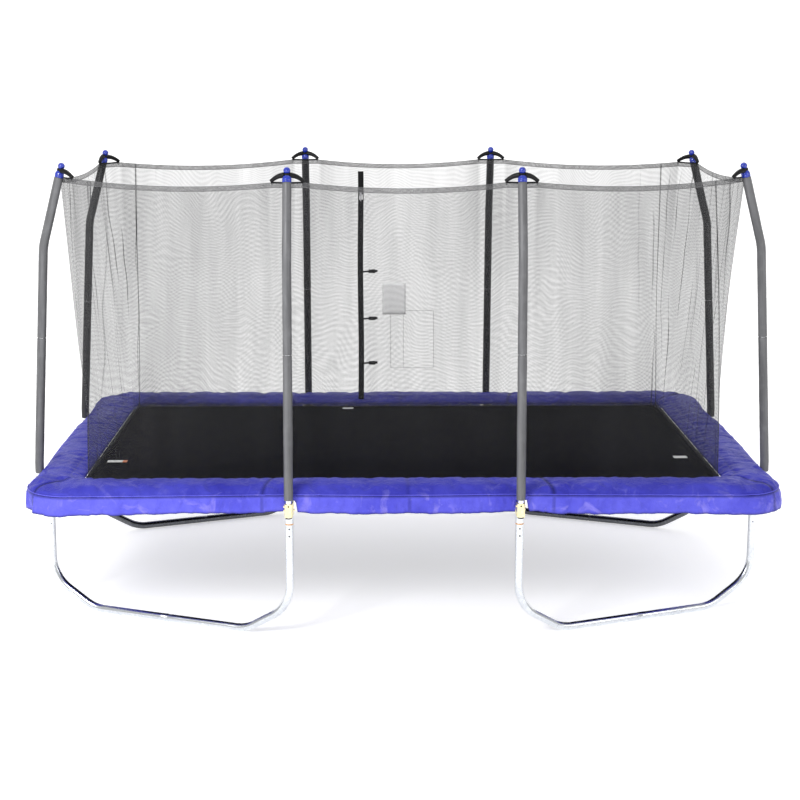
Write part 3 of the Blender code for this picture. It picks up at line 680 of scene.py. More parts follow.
# ---------------------------------------------------------------- poles, sleeves, caps, brackets
def pole_line(foot, inward):
    """The pole's centre line from its foot to its top, and its direction at the top."""
    start = foot - inward * POLE_OFFSET
    bend_in = math.tan(POLE_LEAN) * (POLE_BEND_Z - POLE_LEAN_Z)
    top_in = bend_in + math.tan(POLE_TILT) * (POLE_TOP - POLE_BEND_Z)
    path = [start + UP * POLE_BOTTOM]
    path += rounded(
        [
            start + UP * POLE_LEAN_Z,
            start + inward * bend_in + UP * POLE_BEND_Z,
            start + inward * top_in + UP * POLE_TOP,
        ],
        [POLE_BEND_RADIUS],
    )
    return path, (path[-1] - path[-2]).normalized()


BALL_CENTRE = 0.052
BALL_RADIUS = 0.0215
CAP_PROFILE = []
for step in range(26):
    angle = math.radians(6 * step)
    CAP_PROFILE.append((BALL_RADIUS * math.sin(angle), BALL_CENTRE + BALL_RADIUS * math.cos(angle)))
CAP_PROFILE += [
    (0.0098, 0.0325), (0.0096, 0.0290), (0.0098, 0.0235), (0.0120, 0.0215), (0.0180, 0.0200),
    (0.0215, 0.0178), (0.0240, 0.0140), (0.0262, 0.0092), (0.0278, 0.0030), (0.0286, -0.0030),
    (0.0284, -0.0080), (0.0276, -0.0086), (0.0276, -0.0098), (0.0282, -0.0104), (0.0276, -0.0150),
    (0.0268, -0.0190), (0.0258, -0.0199), (0.0215, -0.0200), (0.0203, -0.0190), (0.0203, 0.0005),
]
PLUG_PROFILE = [
    (0.0, 0.0070), (0.0196, 0.0070), (0.0199, 0.0052), (0.0199, 0.0012), (0.0188, 0.0), (0.0, 0.0)
]
PUNCH_PROFILE = [(0.0, 0.0004), (0.0034, 0.0004), (0.0044, 0.0009), (0.0050, 0.0005), (0.0050, -0.0006)]


def sleeve_halves(path, lean):
    """The sleeve's centre line as two lengths that meet half way up, with 3 mm between them."""
    line = list(path)
    line[0] = Vector((path[0].x, path[0].y, SLEEVE_BOTTOM))
    line[-1] = path[-1] - lean * (COLLAR_DROP + 0.0005)
    line = spaced(line, 0.018)
    lower = [point for point in line if point.z < SLEEVE_JOINT_Z - 0.004]
    upper = [point for point in line if point.z > SLEEVE_JOINT_Z + 0.004]
    share = (SLEEVE_JOINT_Z - 0.0015 - lower[-1].z) / (upper[0].z - lower[-1].z)
    lower.append(lower[-1].lerp(upper[0], share))
    share = (SLEEVE_JOINT_Z + 0.0015 - lower[-1].z) / (upper[0].z - lower[-1].z)
    upper.insert(0, lower[-1].lerp(upper[0], share))
    return lower, upper


def soften_edges(piece, width, material=None):
    """Small bevels on a piece that keeps its CAD shape, and its paint."""
    if material:
        piece.data.materials.clear()
        piece.data.materials.append(material)
    edge = piece.modifiers.new("edge", "BEVEL")
    edge.width = width
    edge.segments = 2
    edge.limit_method = "ANGLE"


top_frames = {}
for number, (name, foot, inward) in enumerate(UPRIGHTS):
    path, lean = pole_line(foot, inward)
    top_frames[name] = (path[-1], lean, inward)
    pole = sweep("pole_tube_" + name, spaced(path, 0.08), POLE_RADIUS, POLE_STEEL, sides=32)
    settle(pole, ["pole_" + name])
    plug = turned_data(PLUG_PROFILE, path[0] - UP * 0.0005, UP, 32)
    assemble("pole_plug_" + name, [plug], BLACK_PLASTIC)

    # Foam sleeve, with rolled ends and a welded seam down the back.
    parts = []
    for half in sleeve_halves(path, lean):
        first, last = (half[0] - half[1]).normalized(), (half[-1] - half[-2]).normalized()
        start, stop = half[0], half[-1]
        line = [start - first * 0.0002, start - first * 0.0010, start - first * 0.0035] + half[1:-1]
        line += [stop - last * 0.0035, stop - last * 0.0010, stop - last * 0.0002]
        fat = [SLEEVE_RADIUS - 0.0040, SLEEVE_RADIUS - 0.0014, SLEEVE_RADIUS - 0.0002]
        radii = fat + [SLEEVE_RADIUS] * (len(line) - 6) + fat[::-1]
        verts, faces, coords = sweep_data(line, radii, sides=36, ends="cap", side_hint=inward)
        for index, vert in enumerate(verts):
            ring, spoke = divmod(index, 36)
            centre = line[ring]
            out = (vert - centre).normalized()
            dent = 0.0007 * ruffle(vert, 9.0, number * 7.1) + 0.0005 * ruffle(vert, 32.0, number * 3.3)
            turn = abs((spoke + 18) % 36 - 18) / 18
            if turn > 0.90:
                dent += 0.0009
            bend = math.exp(-(((centre.z - POLE_BEND_Z) / 0.09) ** 2))
            dent += bend * 0.0007 * math.sin(centre.z * 330.0 + 1.3 * number) * (1.0 - turn)
            verts[index] = vert + out * (dent - 0.0004)
        parts.append((verts, faces, coords))
    # Front sleeves take the painted-light copy, back sleeves the painted-shade copy.
    skin = SLEEVE_LIT if foot.y < 0 else SLEEVE_SHADED
    assemble("foam_sleeve_" + name, parts, skin, ["sleeve_" + name])
    cap = turned_data(CAP_PROFILE, path[-1], lean, 48)
    assemble("ball_cap_" + name, [cap], CAP_PLASTIC, ["cap_" + name])

    # The bracket keeps its CAD shape; a punched hole on its front web is a black disc, painted as the shade
    # inside the hole.
    soften_edges(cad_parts["bracket_" + name], 0.0005, YELLOW_ZINC)
    front = foot - inward * (POLE_OFFSET + POLE_RADIUS + 0.0025)
    hole = turned_data(PUNCH_PROFILE, front + UP * (0.790 + 0.069), -inward, 20)
    assemble("bracket_hole_shade_" + name, [hole], BLACK_PLASTIC)


# ---------------------------------------------------------------- mat, V-rings and springs
SIGNS = ((1, -1), (1, 1), (-1, 1), (-1, -1))
ALONG = (Vector((0, 1, 0)), Vector((-1, 0, 0)), Vector((0, -1, 0)), Vector((1, 0, 0)))


def ring_points(half_x, half_y, radius, arc_steps, step):
    """Points anticlockwise round a rounded rectangle, as (place, outward direction), from the front right."""
    points = []
    for corner, (sign_x, sign_y) in enumerate(SIGNS):
        centre = Vector((sign_x * (half_x - radius), sign_y * (half_y - radius), 0))
        for k in range(arc_steps + 1):
            angle = math.pi / 2 * (corner - 1 + k / arc_steps)
            out = Vector((math.cos(angle), math.sin(angle), 0))
            points.append((centre + out * radius, out))
        long_run = 2 * (half_y - radius) if corner % 2 == 0 else 2 * (half_x - radius)
        count = max(1, round(long_run / step))
        start = points[-1][0]
        for k in range(1, count):
            points.append((start + ALONG[corner] * long_run * k / count, out))
    return points


# The mat: a woven field inside a stitched edge band, 6 mm thick at the folded hem. Each loop is
# (inset, height, stitching), from underneath to the top.
MAT_LOOPS = (
    (-0.050, MAT_UNDER + 0.002, 0.0), (-0.045, MAT_UNDER, 0.0), (-0.0008, MAT_UNDER, 0.0),
    (0.000, MAT_UNDER + 0.0010, 0.0), (0.000, MAT_TOP - 0.0010, 0.0), (-0.0010, MAT_TOP, 0.0),
    (-0.006, MAT_TOP, 0.7), (-0.008, MAT_TOP - 0.0004, 1.0), (-0.010, MAT_TOP, 0.7), (-0.014, MAT_TOP, 0.0),
    (-0.040, MAT_TOP, 0.0), (-0.043, MAT_TOP - 0.0004, 1.0), (-0.046, MAT_TOP, 0.6),
    (-0.050, MAT_TOP - 0.0012, 0.3), (-0.056, MAT_TOP - 0.0022, 0.0),
)
edge_ring = ring_points(MAT_HALF_X, MAT_HALF_Y, MAT_CORNER, 8, 0.04)
verts, seams = [], []
for inset, height, seam in MAT_LOOPS:
    for place, out in edge_ring:
        verts.append(place + out * inset + UP * height)
        seams.append(seam)
faces = ring_faces(len(MAT_LOOPS), len(edge_ring), caps=True)
woven = mesh_object("woven_mat", verts, faces, MAT_WEAVE, seam=seams)
settle(woven, ["mat"], body="mat")

# Webbing tabs along the mat's edge, which hold the V-rings.
tabs = []
TAB_ROWS = ((-0.012, 0.9088, 0.9102), (0.006, 0.9076, 0.9096), (0.0145, 0.9025, 0.9058))
TAB_INSET = 0.07
for out, along, half, cuts in (
    (Vector((0, -MAT_HALF_Y, 0)), Vector((1, 0, 0)), MAT_HALF_X, SPRINGS_LONG),
    (Vector((0, MAT_HALF_Y, 0)), Vector((1, 0, 0)), MAT_HALF_X, SPRINGS_LONG),
    (Vector((-MAT_HALF_X, 0, 0)), Vector((0, 1, 0)), MAT_HALF_Y, SPRINGS_SHORT),
    (Vector((MAT_HALF_X, 0, 0)), Vector((0, 1, 0)), MAT_HALF_Y, SPRINGS_SHORT),
):
    for index in range(cuts):
        centre = out + along * (half - TAB_INSET) * ((index + 0.5) / cuts * 2 - 1)
        width = (half - TAB_INSET) / cuts * (0.985 if index % 3 else 0.86)
        verts = []
        for reach, low, high in TAB_ROWS:
            for shift, height in ((-width, low), (width, low), (width, high), (-width, high)):
                verts.append(centre + out.normalized() * reach + along * shift + UP * height)
        tabs.append((verts, ring_faces(3, 4, caps=True), [tuple(v) for v in verts]))
assemble("mat_tabs", tabs, BLACK_WEBBING, body="mat", smooth=False)

spring_ends = []
for index in range(SPRINGS_LONG):
    share = (index + 0.5) / SPRINGS_LONG * 2 - 1
    for sign, side in ((-1, "front"), (1, "back")):
        near = Vector((share * 1.90, sign * MAT_HALF_Y, 0))
        far = Vector((share * 1.93, sign * (FRAME_HALF_Y - 0.0275), 0))
        spring_ends.append((side, near, far))
for index in range(SPRINGS_SHORT):
    share = (index + 0.5) / SPRINGS_SHORT * 2 - 1
    for sign, side in ((-1, "left"), (1, "right")):
        near = Vector((sign * MAT_HALF_X, share * 0.98, 0))
        far = Vector((sign * (FRAME_HALF_X - 0.0275), share * 1.01, 0))
        spring_ends.append((side, near, far))
near_cut = MAT_CORNER * (1 - math.sqrt(0.5))
far_cut = FRAME_CORNER * (1 - math.sqrt(0.5)) + 0.029 * math.sqrt(0.5)
for sign_x in (-1, 1):
    for sign_y in (-1, 1):
        near = Vector((sign_x * (MAT_HALF_X - near_cut), sign_y * (MAT_HALF_Y - near_cut), 0))
        far = Vector((sign_x * (FRAME_HALF_X - far_cut), sign_y * (FRAME_HALF_Y - far_cut), 0))
        spring_ends.append(("front" if sign_y < 0 else "back", near, far))

SPRING_Z = (MAT_TOP + MAT_UNDER) / 2
HOOK = 0.030
COIL_RADIUS = 0.0088
COIL_STEPS = 26 * 7
sides_found = {"front": [], "back": [], "left": [], "right": []}
v_rings = []
for side, start, stop in spring_ends:
    out = (stop - start).normalized()
    across = Vector((-out.y, out.x, 0))
    base = UP * SPRING_Z
    apex = start + out * 0.024 + base
    loop = [
        start + out * reach + across * spread for reach, spread in (
            (-0.010, -0.022), (0.001, -0.021), (0.021, -0.004), (0.024, 0.0),
            (0.021, 0.004), (0.001, 0.021), (-0.010, 0.022),
        )
    ]
    v_rings.append(sweep_data([point + base for point in loop], 0.0021, sides=8))
    coil_from = start + out * (0.020 + HOOK) + base
    coil_to = stop - out * HOOK + base
    run = coil_to - coil_from
    line = [
        apex + out * reach + UP * rise for reach, rise in (
            (-0.004, -0.0035), (-0.006, 0.0), (-0.001, 0.0045), (0.012, 0.002),
        )
    ]
    for step in range(COIL_STEPS + 1):
        angle = 2 * math.pi * step / 7
        swell = min(1.0, 0.35 + step / 14, 0.35 + (COIL_STEPS - step) / 14)
        arm = (across * math.cos(angle) + UP * math.sin(angle)) * COIL_RADIUS
        line.append(coil_from + run * step / COIL_STEPS + arm * swell)
    line.append(coil_to + out * 0.012 + UP * 0.002)
    line += [stop + base + out * reach + UP * rise for reach, rise in ((-0.001, 0.004), (0.0005, -0.004))]
    sides_found[side].append(sweep_data(line, 0.0017, sides=5, ends="cap"))

assemble("v_rings", v_rings, WIRE_STEEL, body="mat")
for side, outer, inner in (
    ("front", (0, -1.30, 0.906), (0, -1.09, 0.906)), ("back", (0, 1.30, 0.906), (0, 1.09, 0.906)),
    ("left", (-2.22, 0, 0.906), (-2.005, 0, 0.906)), ("right", (2.22, 0, 0.906), (2.005, 0, 0.906)),
):
    nodes = ["springs"] if side == "front" else ()
    coils = assemble("springs_" + side, sides_found[side], WIRE_STEEL, nodes, body=None)
    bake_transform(coils)


# ---------------------------------------------------------------- padded cover
def pole_distance(place):
    return min((Vector((place.x, place.y, 0)) - foot).length for _, foot, _ in UPRIGHTS)


def bulge_out(place):
    """How far the cover's outer edge stands out: slack between the poles, drawn in at each pole and mitre."""
    nearest = pole_distance(place)
    free = min(1.0, max(0.0, (nearest - 0.10) / 0.45))
    corner = max(0.0, abs(place.x) / PAD_OUT_X + abs(place.y) / PAD_OUT_Y - 1.55) / 0.25
    soft = 0.5 + 0.5 * ruffle(place, 1.1, 4.0)
    return free * (0.010 + 0.016 * soft + 0.014 * min(1.0, corner))


def pad_stations(step=0.022):
    """(inner point, outer point, outward direction) round the cover, matched corner to corner."""
    stations = []
    arc = 20
    for corner, (sign_x, sign_y) in enumerate(SIGNS):
        inner_centre = Vector((sign_x * (PAD_IN_X - MAT_CORNER), sign_y * (PAD_IN_Y - MAT_CORNER), 0))
        outer_centre = Vector((sign_x * (PAD_OUT_X - PAD_CORNER), sign_y * (PAD_OUT_Y - PAD_CORNER), 0))
        for k in range(arc + 1):
            angle = math.pi / 2 * (corner - 1 + k / arc)
            out = Vector((math.cos(angle), math.sin(angle), 0))
            stations.append((inner_centre + out * MAT_CORNER, outer_centre + out * PAD_CORNER, out))
        inner_run = 2 * ((PAD_IN_X if corner % 2 else PAD_IN_Y) - MAT_CORNER)
        outer_run = 2 * ((PAD_OUT_X if corner % 2 else PAD_OUT_Y) - PAD_CORNER)
        count = round(outer_run / step)
        inner_start, outer_start, out = stations[-1]
        for k in range(1, count):
            share = k / count
            inner = inner_start + ALONG[corner] * inner_run * share
            stations.append((inner, outer_start + ALONG[corner] * outer_run * share, out))
    return stations


CROSS_SEAMS_X = (-0.86, 0.03, 0.90)


def seam_share(outer, out):
    """1 on a cross seam or a corner mitre, falling to 0 within 13 mm."""
    if abs(out.x) > 0.2 and abs(out.y) > 0.2:
        away = abs(abs(out.x) - abs(out.y)) * PAD_CORNER
    elif abs(out.y) > 0.5:
        away = min(abs(outer.x - x) for x in CROSS_SEAMS_X)
    else:
        away = abs(outer.y)
    return max(0.0, 1.0 - away / 0.013)


def crease_share(place):
    """How crumpled the cover is at a place: most beside the poles, the cross seams and the corners."""
    corner = max(0.0, abs(place.x) / PAD_OUT_X + abs(place.y) / PAD_OUT_Y - 1.5) / 0.25
    seam = min(abs(place.x - x) for x in CROSS_SEAMS_X) if abs(place.y) > PAD_IN_Y else abs(place.y)
    found = math.exp(-((pole_distance(place) / 0.24) ** 2)) + 0.7 * math.exp(-((seam / 0.09) ** 2))
    return min(1.0, 0.18 + (found + 0.8 * min(1.0, corner)))


stations = pad_stations()
# Cross-section from the inner lip over the top, down over the rail to the outer seam, and back underneath:
# (share of the width, height over the underside, whether the sewing holds it).
RIDGE_LIFT = -0.0190
SECTION = [
    (0.000, -0.0165, 1), (0.002, -0.0080, 1), (0.020, -0.0005, 0), (0.060, 0.0070, 0), (0.110, 0.0145, 0),
    (0.160, 0.0205, 0), (0.205, 0.0245, 0), (0.245, 0.0262, 1), (0.275, 0.0270, 0), (0.330, 0.0290, 0),
    (0.390, 0.0295, 0), (0.450, 0.0295, 0), (0.510, 0.0293, 0), (0.570, 0.0290, 0), (0.630, 0.0286, 0),
    (0.690, 0.0280, 0), (0.745, 0.0270, 0), (0.795, 0.0255, 0), (0.840, 0.0232, 0), (0.880, 0.0198, 0),
    (0.915, 0.0148, 0), (0.945, 0.0080, 0), (0.968, 0.0000, 0), (0.986, -0.0095, 1), (1.000, RIDGE_LIFT, 1),
    (0.986, -0.0260, 1), (0.962, -0.0120, 1), (0.930, -0.0030, 1), (0.880, 0.0000, 1), (0.700, 0.0000, 1),
    (0.450, -0.0060, 1), (0.200, -0.0120, 1), (0.030, -0.0175, 1),
]
TOP_ROWS = 25
FOLD_ROW = 7
verts, seams, held = [], [], []
for inner, outer, out in stations:
    edge = outer + out * bulge_out(outer) * 0.8
    stitched = seam_share(outer, out)
    for index, (share, height, hold) in enumerate(SECTION):
        place = inner.lerp(edge, share)
        top = index < TOP_ROWS
        lift = height - (0.005 * stitched if top and 0.02 < share < 0.97 else 0.0)
        if top and 0.01 < share < 0.99:
            lift -= 0.0020 * (0.5 + 0.5 * ruffle(place, 2.4, 1.0))
            lift += 0.0052 * crease_share(place) * ruffle(place, 24.0, 12.0) * (0.35 + 0.65 * share)
            lift += 0.0034 * ruffle(place, 7.0, 21.0)
        verts.append(place + UP * (PAD_UNDER + lift))
        fold = 0.30 if index == FOLD_ROW else 0.0
        seams.append(max(stitched, fold) if top else 0.0)
        held.append(1.0 if hold or stitched > 0.5 else 0.0)
faces = ring_faces(len(stations), len(SECTION), closed=True, flip=True)
cover = mesh_object("cover_pad", verts, faces, PAD_VINYL, seam=seams)
bm = bmesh.new()
bm.from_mesh(cover.data)
bmesh.ops.recalc_face_normals(bm, faces=bm.faces)
bm.to_mesh(cover.data)
bm.free()


def read_points(mesh):
    points = np.empty(len(mesh.vertices) * 3, np.float32)
    mesh.vertices.foreach_get("co", points)
    return points.reshape(-1, 3).astype(float)


def write_points(mesh, points):
    mesh.vertices.foreach_set("co", np.asarray(points, np.float32).ravel())
    mesh.update()


def settle_cloth(obj, held, frames, cap, pressure=0.0, gravity=0.0, slack=0.0, bending=0.4):
    """Runs Blender's cloth on the mesh with the held points pinned, and keeps each point within the cap."""
    group = obj.vertex_groups.new(name="held")
    for index, weight in enumerate(held):
        if weight > 0.0:
            group.add([index], float(weight), "REPLACE")
    cloth = obj.modifiers.new("cloth", "CLOTH")
    fabric = cloth.settings
    fabric.quality = 5
    fabric.mass = 0.25
    fabric.vertex_group_mass = "held"
    fabric.tension_stiffness = 25
    fabric.compression_stiffness = 25
    fabric.shear_stiffness = 12
    fabric.bending_stiffness = bending
    fabric.air_damping = 3
    fabric.shrink_min = -slack
    fabric.use_pressure = pressure > 0
    fabric.uniform_pressure_force = pressure
    fabric.effector_weights.gravity = gravity
    cloth.collision_settings.use_collision = False
    cloth.point_cache.frame_start = 1
    cloth.point_cache.frame_end = frames
    before = read_points(obj.data)
    for step in range(1, frames + 1):
        bpy.context.scene.frame_set(step)
    graph = bpy.context.evaluated_depsgraph_get()
    moved = obj.evaluated_get(graph)
    after = read_points(moved.to_mesh())
    moved.to_mesh_clear()
    obj.modifiers.remove(cloth)
    obj.vertex_groups.remove(group)
    bpy.context.scene.frame_set(1)
    shift = after - before
    size = np.linalg.norm(shift, axis=1, keepdims=True)
    shift *= np.minimum(1.0, cap / np.maximum(size, 1e-9))
    write_points(obj.data, before + shift)


settle_cloth(cover, held, 22, 0.009, pressure=2.0, slack=0.05)
smooth = cover.modifiers.new("smooth", "SUBSURF")
smooth.levels = 1
smooth.render_levels = 1
settle(cover, ["pad"])

# The skirt hangs from the cover's outer seam, with a rounded notch at each bracket.
skirt_ring = [(outer, out) for _, outer, out in pad_stations(0.010)]
SKIRT_ROWS = 12
SKIRT_TOP = PAD_UNDER + RIDGE_LIFT + 0.0010


def notch_depth(place):
    """How far the hem is cut up at a place, with rounded corners, 0 away from the brackets."""
    for _, foot, inward in UPRIGHTS:
        along = Vector((-inward.y, inward.x, 0))
        away = (foot - place).dot(along)
        reach = (NOTCH_RIGHT if away > 0 else NOTCH_LEFT) + 0.006
        if (place - foot).length < 0.15 and abs(away) < reach:
            share = min(1.0, (reach - abs(away)) / 0.014)
            return (NOTCH_TOP - SKIRT_BOTTOM) * share * share * (3 - 2 * share)
    return 0.0


verts, seams, held = [], [], []
for place, out in skirt_ring:
    bulge = bulge_out(place)
    stitched = seam_share(place, out)
    crumple = crease_share(place)
    hem = SKIRT_BOTTOM - 0.008 + 0.014 * ruffle(place, 1.7, 9.0) + 0.007 * ruffle(place, 6.0, 3.0)
    hem += 0.016 * math.exp(-((pole_distance(place) / 0.20) ** 2))
    hem = max(SKIRT_BOTTOM - 0.014, hem)
    hem = max(hem, min(NOTCH_TOP, hem + notch_depth(place)))
    drop = SKIRT_TOP - hem
    near = max(0.0, 1.0 - abs(bulge) / 0.02)
    for row in range(SKIRT_ROWS + 1):
        share = row / SKIRT_ROWS
        flare = bulge * (0.8 + 0.35 * share) + 0.004 * math.sin(math.pi * share)
        slant = place + Vector((0.05, 0.05, 0)) * share
        pleat = 0.0080 * ruffle(slant, 6.5, 2.0) + 0.0120 * crumple * ruffle(slant, 19.0, 6.0)
        pleat += 0.0050 * crumple * ruffle(slant + UP * share * 0.1, 43.0, 6.0)
        flare += pleat * (0.25 + 0.75 * share) * (1.0 - 0.35 * near)
        if share < 0.05:
            flare += 0.0005
        point = place + out * max(-0.0012, flare) + UP * (SKIRT_TOP - drop * share)
        verts.append(point)
        # The two top rows are darkened as a painted shadow under the welt; the hem rows are darkened along
        # the hem.
        edge = 1.0 if row in (0, SKIRT_ROWS) else 0.55 if row == 1 else 0.25 if row == SKIRT_ROWS - 1 else 0.0
        seams.append(max(0.7 * stitched, edge))
        held.append(1.0 if row <= 1 else 0.15 if row == 2 else 0.0)
faces = ring_faces(len(skirt_ring), SKIRT_ROWS + 1, closed=True, loop=False)
skirt = mesh_object("cover_skirt", verts, faces, SKIRT_VINYL, seam=seams)
settle_cloth(skirt, held, 18, 0.010, gravity=0.35, slack=0.03, bending=0.15)
shell = skirt.modifiers.new("thickness", "SOLIDIFY")
shell.thickness = 0.0012
shell.offset = -1.0
settle(skirt)

# The welt: the sewn ridge where the skirt joins the cover.
welt_path = []
for place, out in skirt_ring[::2]:
    bulge = bulge_out(place) * 0.8
    lift = 0.0026 * crease_share(place) * ruffle(place, 30.0, 5.0)
    welt_path.append(place + out * (bulge + 0.0010 + lift) + UP * (SKIRT_TOP + 0.0030 + lift))
welt = sweep("cover_welt", welt_path, 0.0032, SKIRT_VINYL, sides=8, closed=True)
settle(welt)


# ---------------------------------------------------------------- net
def hanger_tips(name):
    """The lower corners of a pole's hanger, in order round the net. On the short sides it is turned."""
    top, lean, inward = top_frames[name]
    sideways = inward.cross(UP)
    middle = top - lean * HANGER_DROP + inward * HANGER_SET_IN
    spread = sideways * HANGER_HALF
    if abs(inward.x) > 0.5:
        swing = math.copysign(math.sin(HANGER_TURN), sideways.y * top.y)
        spread = (sideways * math.cos(HANGER_TURN) + inward * swing) * HANGER_HALF
        middle = top - lean * HANGER_DROP + inward * (HANGER_SET_IN / math.cos(HANGER_TURN) + 0.001)
    return middle - spread, middle + spread


def foot_under(tip):
    """The point of the mat's edge below a hanger's corner."""
    if abs(tip.x) > 1.5:
        return Vector((math.copysign(NET_HALF_X, tip.x), tip.y, NET_BOTTOM))
    return Vector((tip.x, math.copysign(NET_HALF_Y, tip.y), NET_BOTTOM))


def foot_walk(start, stop, share):
    """The point at this share of the way round the mat's edge, past any corner, and 1 near that corner."""
    if abs(start.x - stop.x) > 0.5 and abs(start.y - stop.y) > 0.05:
        corner_x = math.copysign(NET_HALF_X, start.x + stop.x)
        corner_y = math.copysign(NET_HALF_Y, start.y + stop.y)
        corner = Vector((corner_x, corner_y, start.z))
        # The corner seam runs up to the side pole, so the long side takes most of the top edge.
        turn = CORNER_SHARE if abs(start.x) < 1.5 else 1.0 - CORNER_SHARE
        if share < turn:
            place = start.lerp(corner, share / turn)
        else:
            place = corner.lerp(stop, (share - turn) / (1 - turn))
        inset = MAT_CORNER * 0.6
        close = max(0.0, 1.0 - (place - corner).length / inset)
        centre = corner - Vector((math.copysign(inset, corner.x), math.copysign(inset, corner.y), 0))
        return place.lerp(centre, 0.25 * close), corner
    return start.lerp(stop, share), None


CORNER_SHARE = 0.90
columns = []
for index, (name, _, inward) in enumerate(UPRIGHTS):
    first, second = hanger_tips(name)
    following, _ = hanger_tips(UPRIGHTS[(index + 1) % len(UPRIGHTS)][0])
    for step in range(8):
        share = step / 8
        top = first.lerp(second, share)
        columns.append((top, foot_under(first).lerp(foot_under(second), share), 0.0, 0.0))
    run = (following - second).length
    count = round(run / 0.024)
    seam_at = None
    for step in range(count):
        share = step / count
        top = second.lerp(following, share)
        top.z -= NET_SAG * 4 * share * (1 - share)
        foot, corner = foot_walk(foot_under(second), foot_under(following), share)
        seam = 0.0
        if corner is not None:
            turn = CORNER_SHARE if abs(second.x) < 1.5 else 1.0 - CORNER_SHARE
            seam = 1.0 if abs(share - turn) * count <= 0.5 else 0.0
        gap = min(share, 1 - share) * run
        columns.append((top, foot, seam, math.exp(-gap / 0.10)))

ROWS = 44
verts, cloth_at, gathers, strains, seams, normals = [], [], [], [], [], []
around = 0.0
for k, (top, foot, _, _) in enumerate(columns):
    after, before = columns[(k + 1) % len(columns)], columns[k - 1]
    across = ((after[0] + after[1]) - (before[0] + before[1])).normalized()
    normals.append(across.cross((top - foot).normalized()).normalized())
for k, (top, foot, seam, gather) in enumerate(columns):
    if k:
        middle = (top + foot - columns[k - 1][0] - columns[k - 1][1]) / 2
        around += middle.length
    for row in range(ROWS + 1):
        share = row / ROWS
        place = foot.lerp(top, share)
        belly = math.sin(math.pi * share)
        short = 1.0 if abs(top.x) > 1.2 and abs(foot.x) > 1.2 else 0.0
        fold = (0.010 + 0.020 * short) * ruffle((around * 1.6, share * 0.7, 0), 1.0, 3.0) * belly
        fold += 0.016 * short * ruffle((around * 8.0, share * 1.3, 0), 1.0, 14.0) * belly
        fold += 0.0045 * ruffle((around * 9.0, share * 1.2, 0), 1.0, 8.0) * belly
        fold += gather * 0.007 * math.sin(around * 150.0) * (0.25 + share) * belly
        verts.append(place - normals[k] * fold)
        cloth_at.append((around, share * 1.9, 0.0))
        corner = max(0.0, abs(foot.x) / NET_HALF_X + abs(foot.y) / NET_HALF_Y - 1.70) / 0.30
        pull = 0.20 * gather * share * share
        pull += 0.55 * max(0.0, 1.0 - share / 0.022)
        pull += 0.10 * min(1.0, corner) * max(0.0, 1.0 - share / 0.3) + 0.05 * short
        side = max(0.0, (abs(place.x) - 1.62) / 0.35)
        strains.append(min(1.0, side * side))
        seams.append(seam)
        gathers.append(pull)
faces = ring_faces(len(columns), ROWS + 1, closed=True, loop=False, flip=True)
net = mesh_object(
    "net_wall", verts, faces, NET_KNIT, cloth=cloth_at, gather=gathers, strain=strains, seam=seams
)
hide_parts("net")
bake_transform(net)

# The hem: a folded band of net along the top edge, stitched along both sides.
verts, cloth_at, gathers = [], [], []
HEM_ROWS = ((1.0015, 0.45), (1.0, 0.35), (0.86, 0.0), (0.5, 0.0), (0.16, 0.0), (0.06, 0.40), (0.0, 0.45))
for k, (top, foot, _, _) in enumerate(columns):
    down = (foot - top).normalized()
    wobble = 0.0012 * ruffle(top, 14.0, 3.0)
    for share, stitch in HEM_ROWS:
        place = top + down * HEM_HEIGHT * (1 - share) + normals[k] * (0.0022 + wobble)
        verts.append(place)
        cloth_at.append((k * 0.024, share * HEM_HEIGHT, 0.0))
        gathers.append(stitch)
faces = ring_faces(len(columns), len(HEM_ROWS), closed=True, loop=False)
hem = mesh_object("net_hem", verts, faces, HEM_KNIT, cloth=cloth_at, gather=gathers)
settle(hem)

# Edge tape where the net is laced to the mat.
tape_path = [foot + UP * 0.0005 for _, foot, _, _ in columns]
tape = sweep("net_foot_cord", tape_path, 0.0030, BLACK_WEBBING, sides=6, closed=True)
settle(tape, body="mat")

# Hangers: a moulded ring over the cap's neck, two curved arms and a thin bar between their tips.
for name, foot, inward in UPRIGHTS:
    top, lean, _ = top_frames[name]
    sideways = inward.cross(UP)
    across = lean.cross(sideways)
    neck = top + lean * RING_HEIGHT
    ring = []
    for step in range(28):
        angle = 2 * math.pi * step / 28
        ring.append(neck + (sideways * math.cos(angle) + across * math.sin(angle)) * 0.0150)
    pieces = [sweep_data(ring, 0.0062, sides=14, closed=True)]
    first, second = hanger_tips(name)
    root = (second - first).normalized()
    root = (root - lean * root.dot(lean)).normalized()
    for tip, sign in ((first, -1), (second, 1)):
        start = neck + root * sign * 0.014 - UP * 0.002
        stop = tip + UP * 0.007
        arm = [start.lerp(stop, k / 14) + UP * 0.009 * math.sin(math.pi * k / 14) for k in range(15)]
        radii = [0.0180 - 0.0065 * (step / 14) for step in range(15)]
        pieces.append(sweep_data(arm, radii, sides=16, flat=0.95, side_hint=UP))
    bar = [first.lerp(second, k / 16) - UP * 0.0025 * math.sin(math.pi * k / 16) for k in range(17)]
    pieces.append(sweep_data(bar, 0.0055, sides=12))
    assemble("hanger_" + name, pieces, BLACK_PLASTIC)
    # Two loops tie the hem to the hanger's tips.
    ties = []
    for tip, sign in ((first, -1), (second, 1)):
        loop = []
        for step in range(12):
            angle = 2 * math.pi * step / 12
            lift = UP * (0.011 * math.cos(angle) - 0.006)
            loop.append(tip - root * sign * 0.006 + lift + across * 0.006 * math.sin(angle))
        ties.append(sweep_data(loop, 0.0016, sides=8, closed=True))
    assemble("hem_ties_" + name, ties, BLACK_WEBBING)

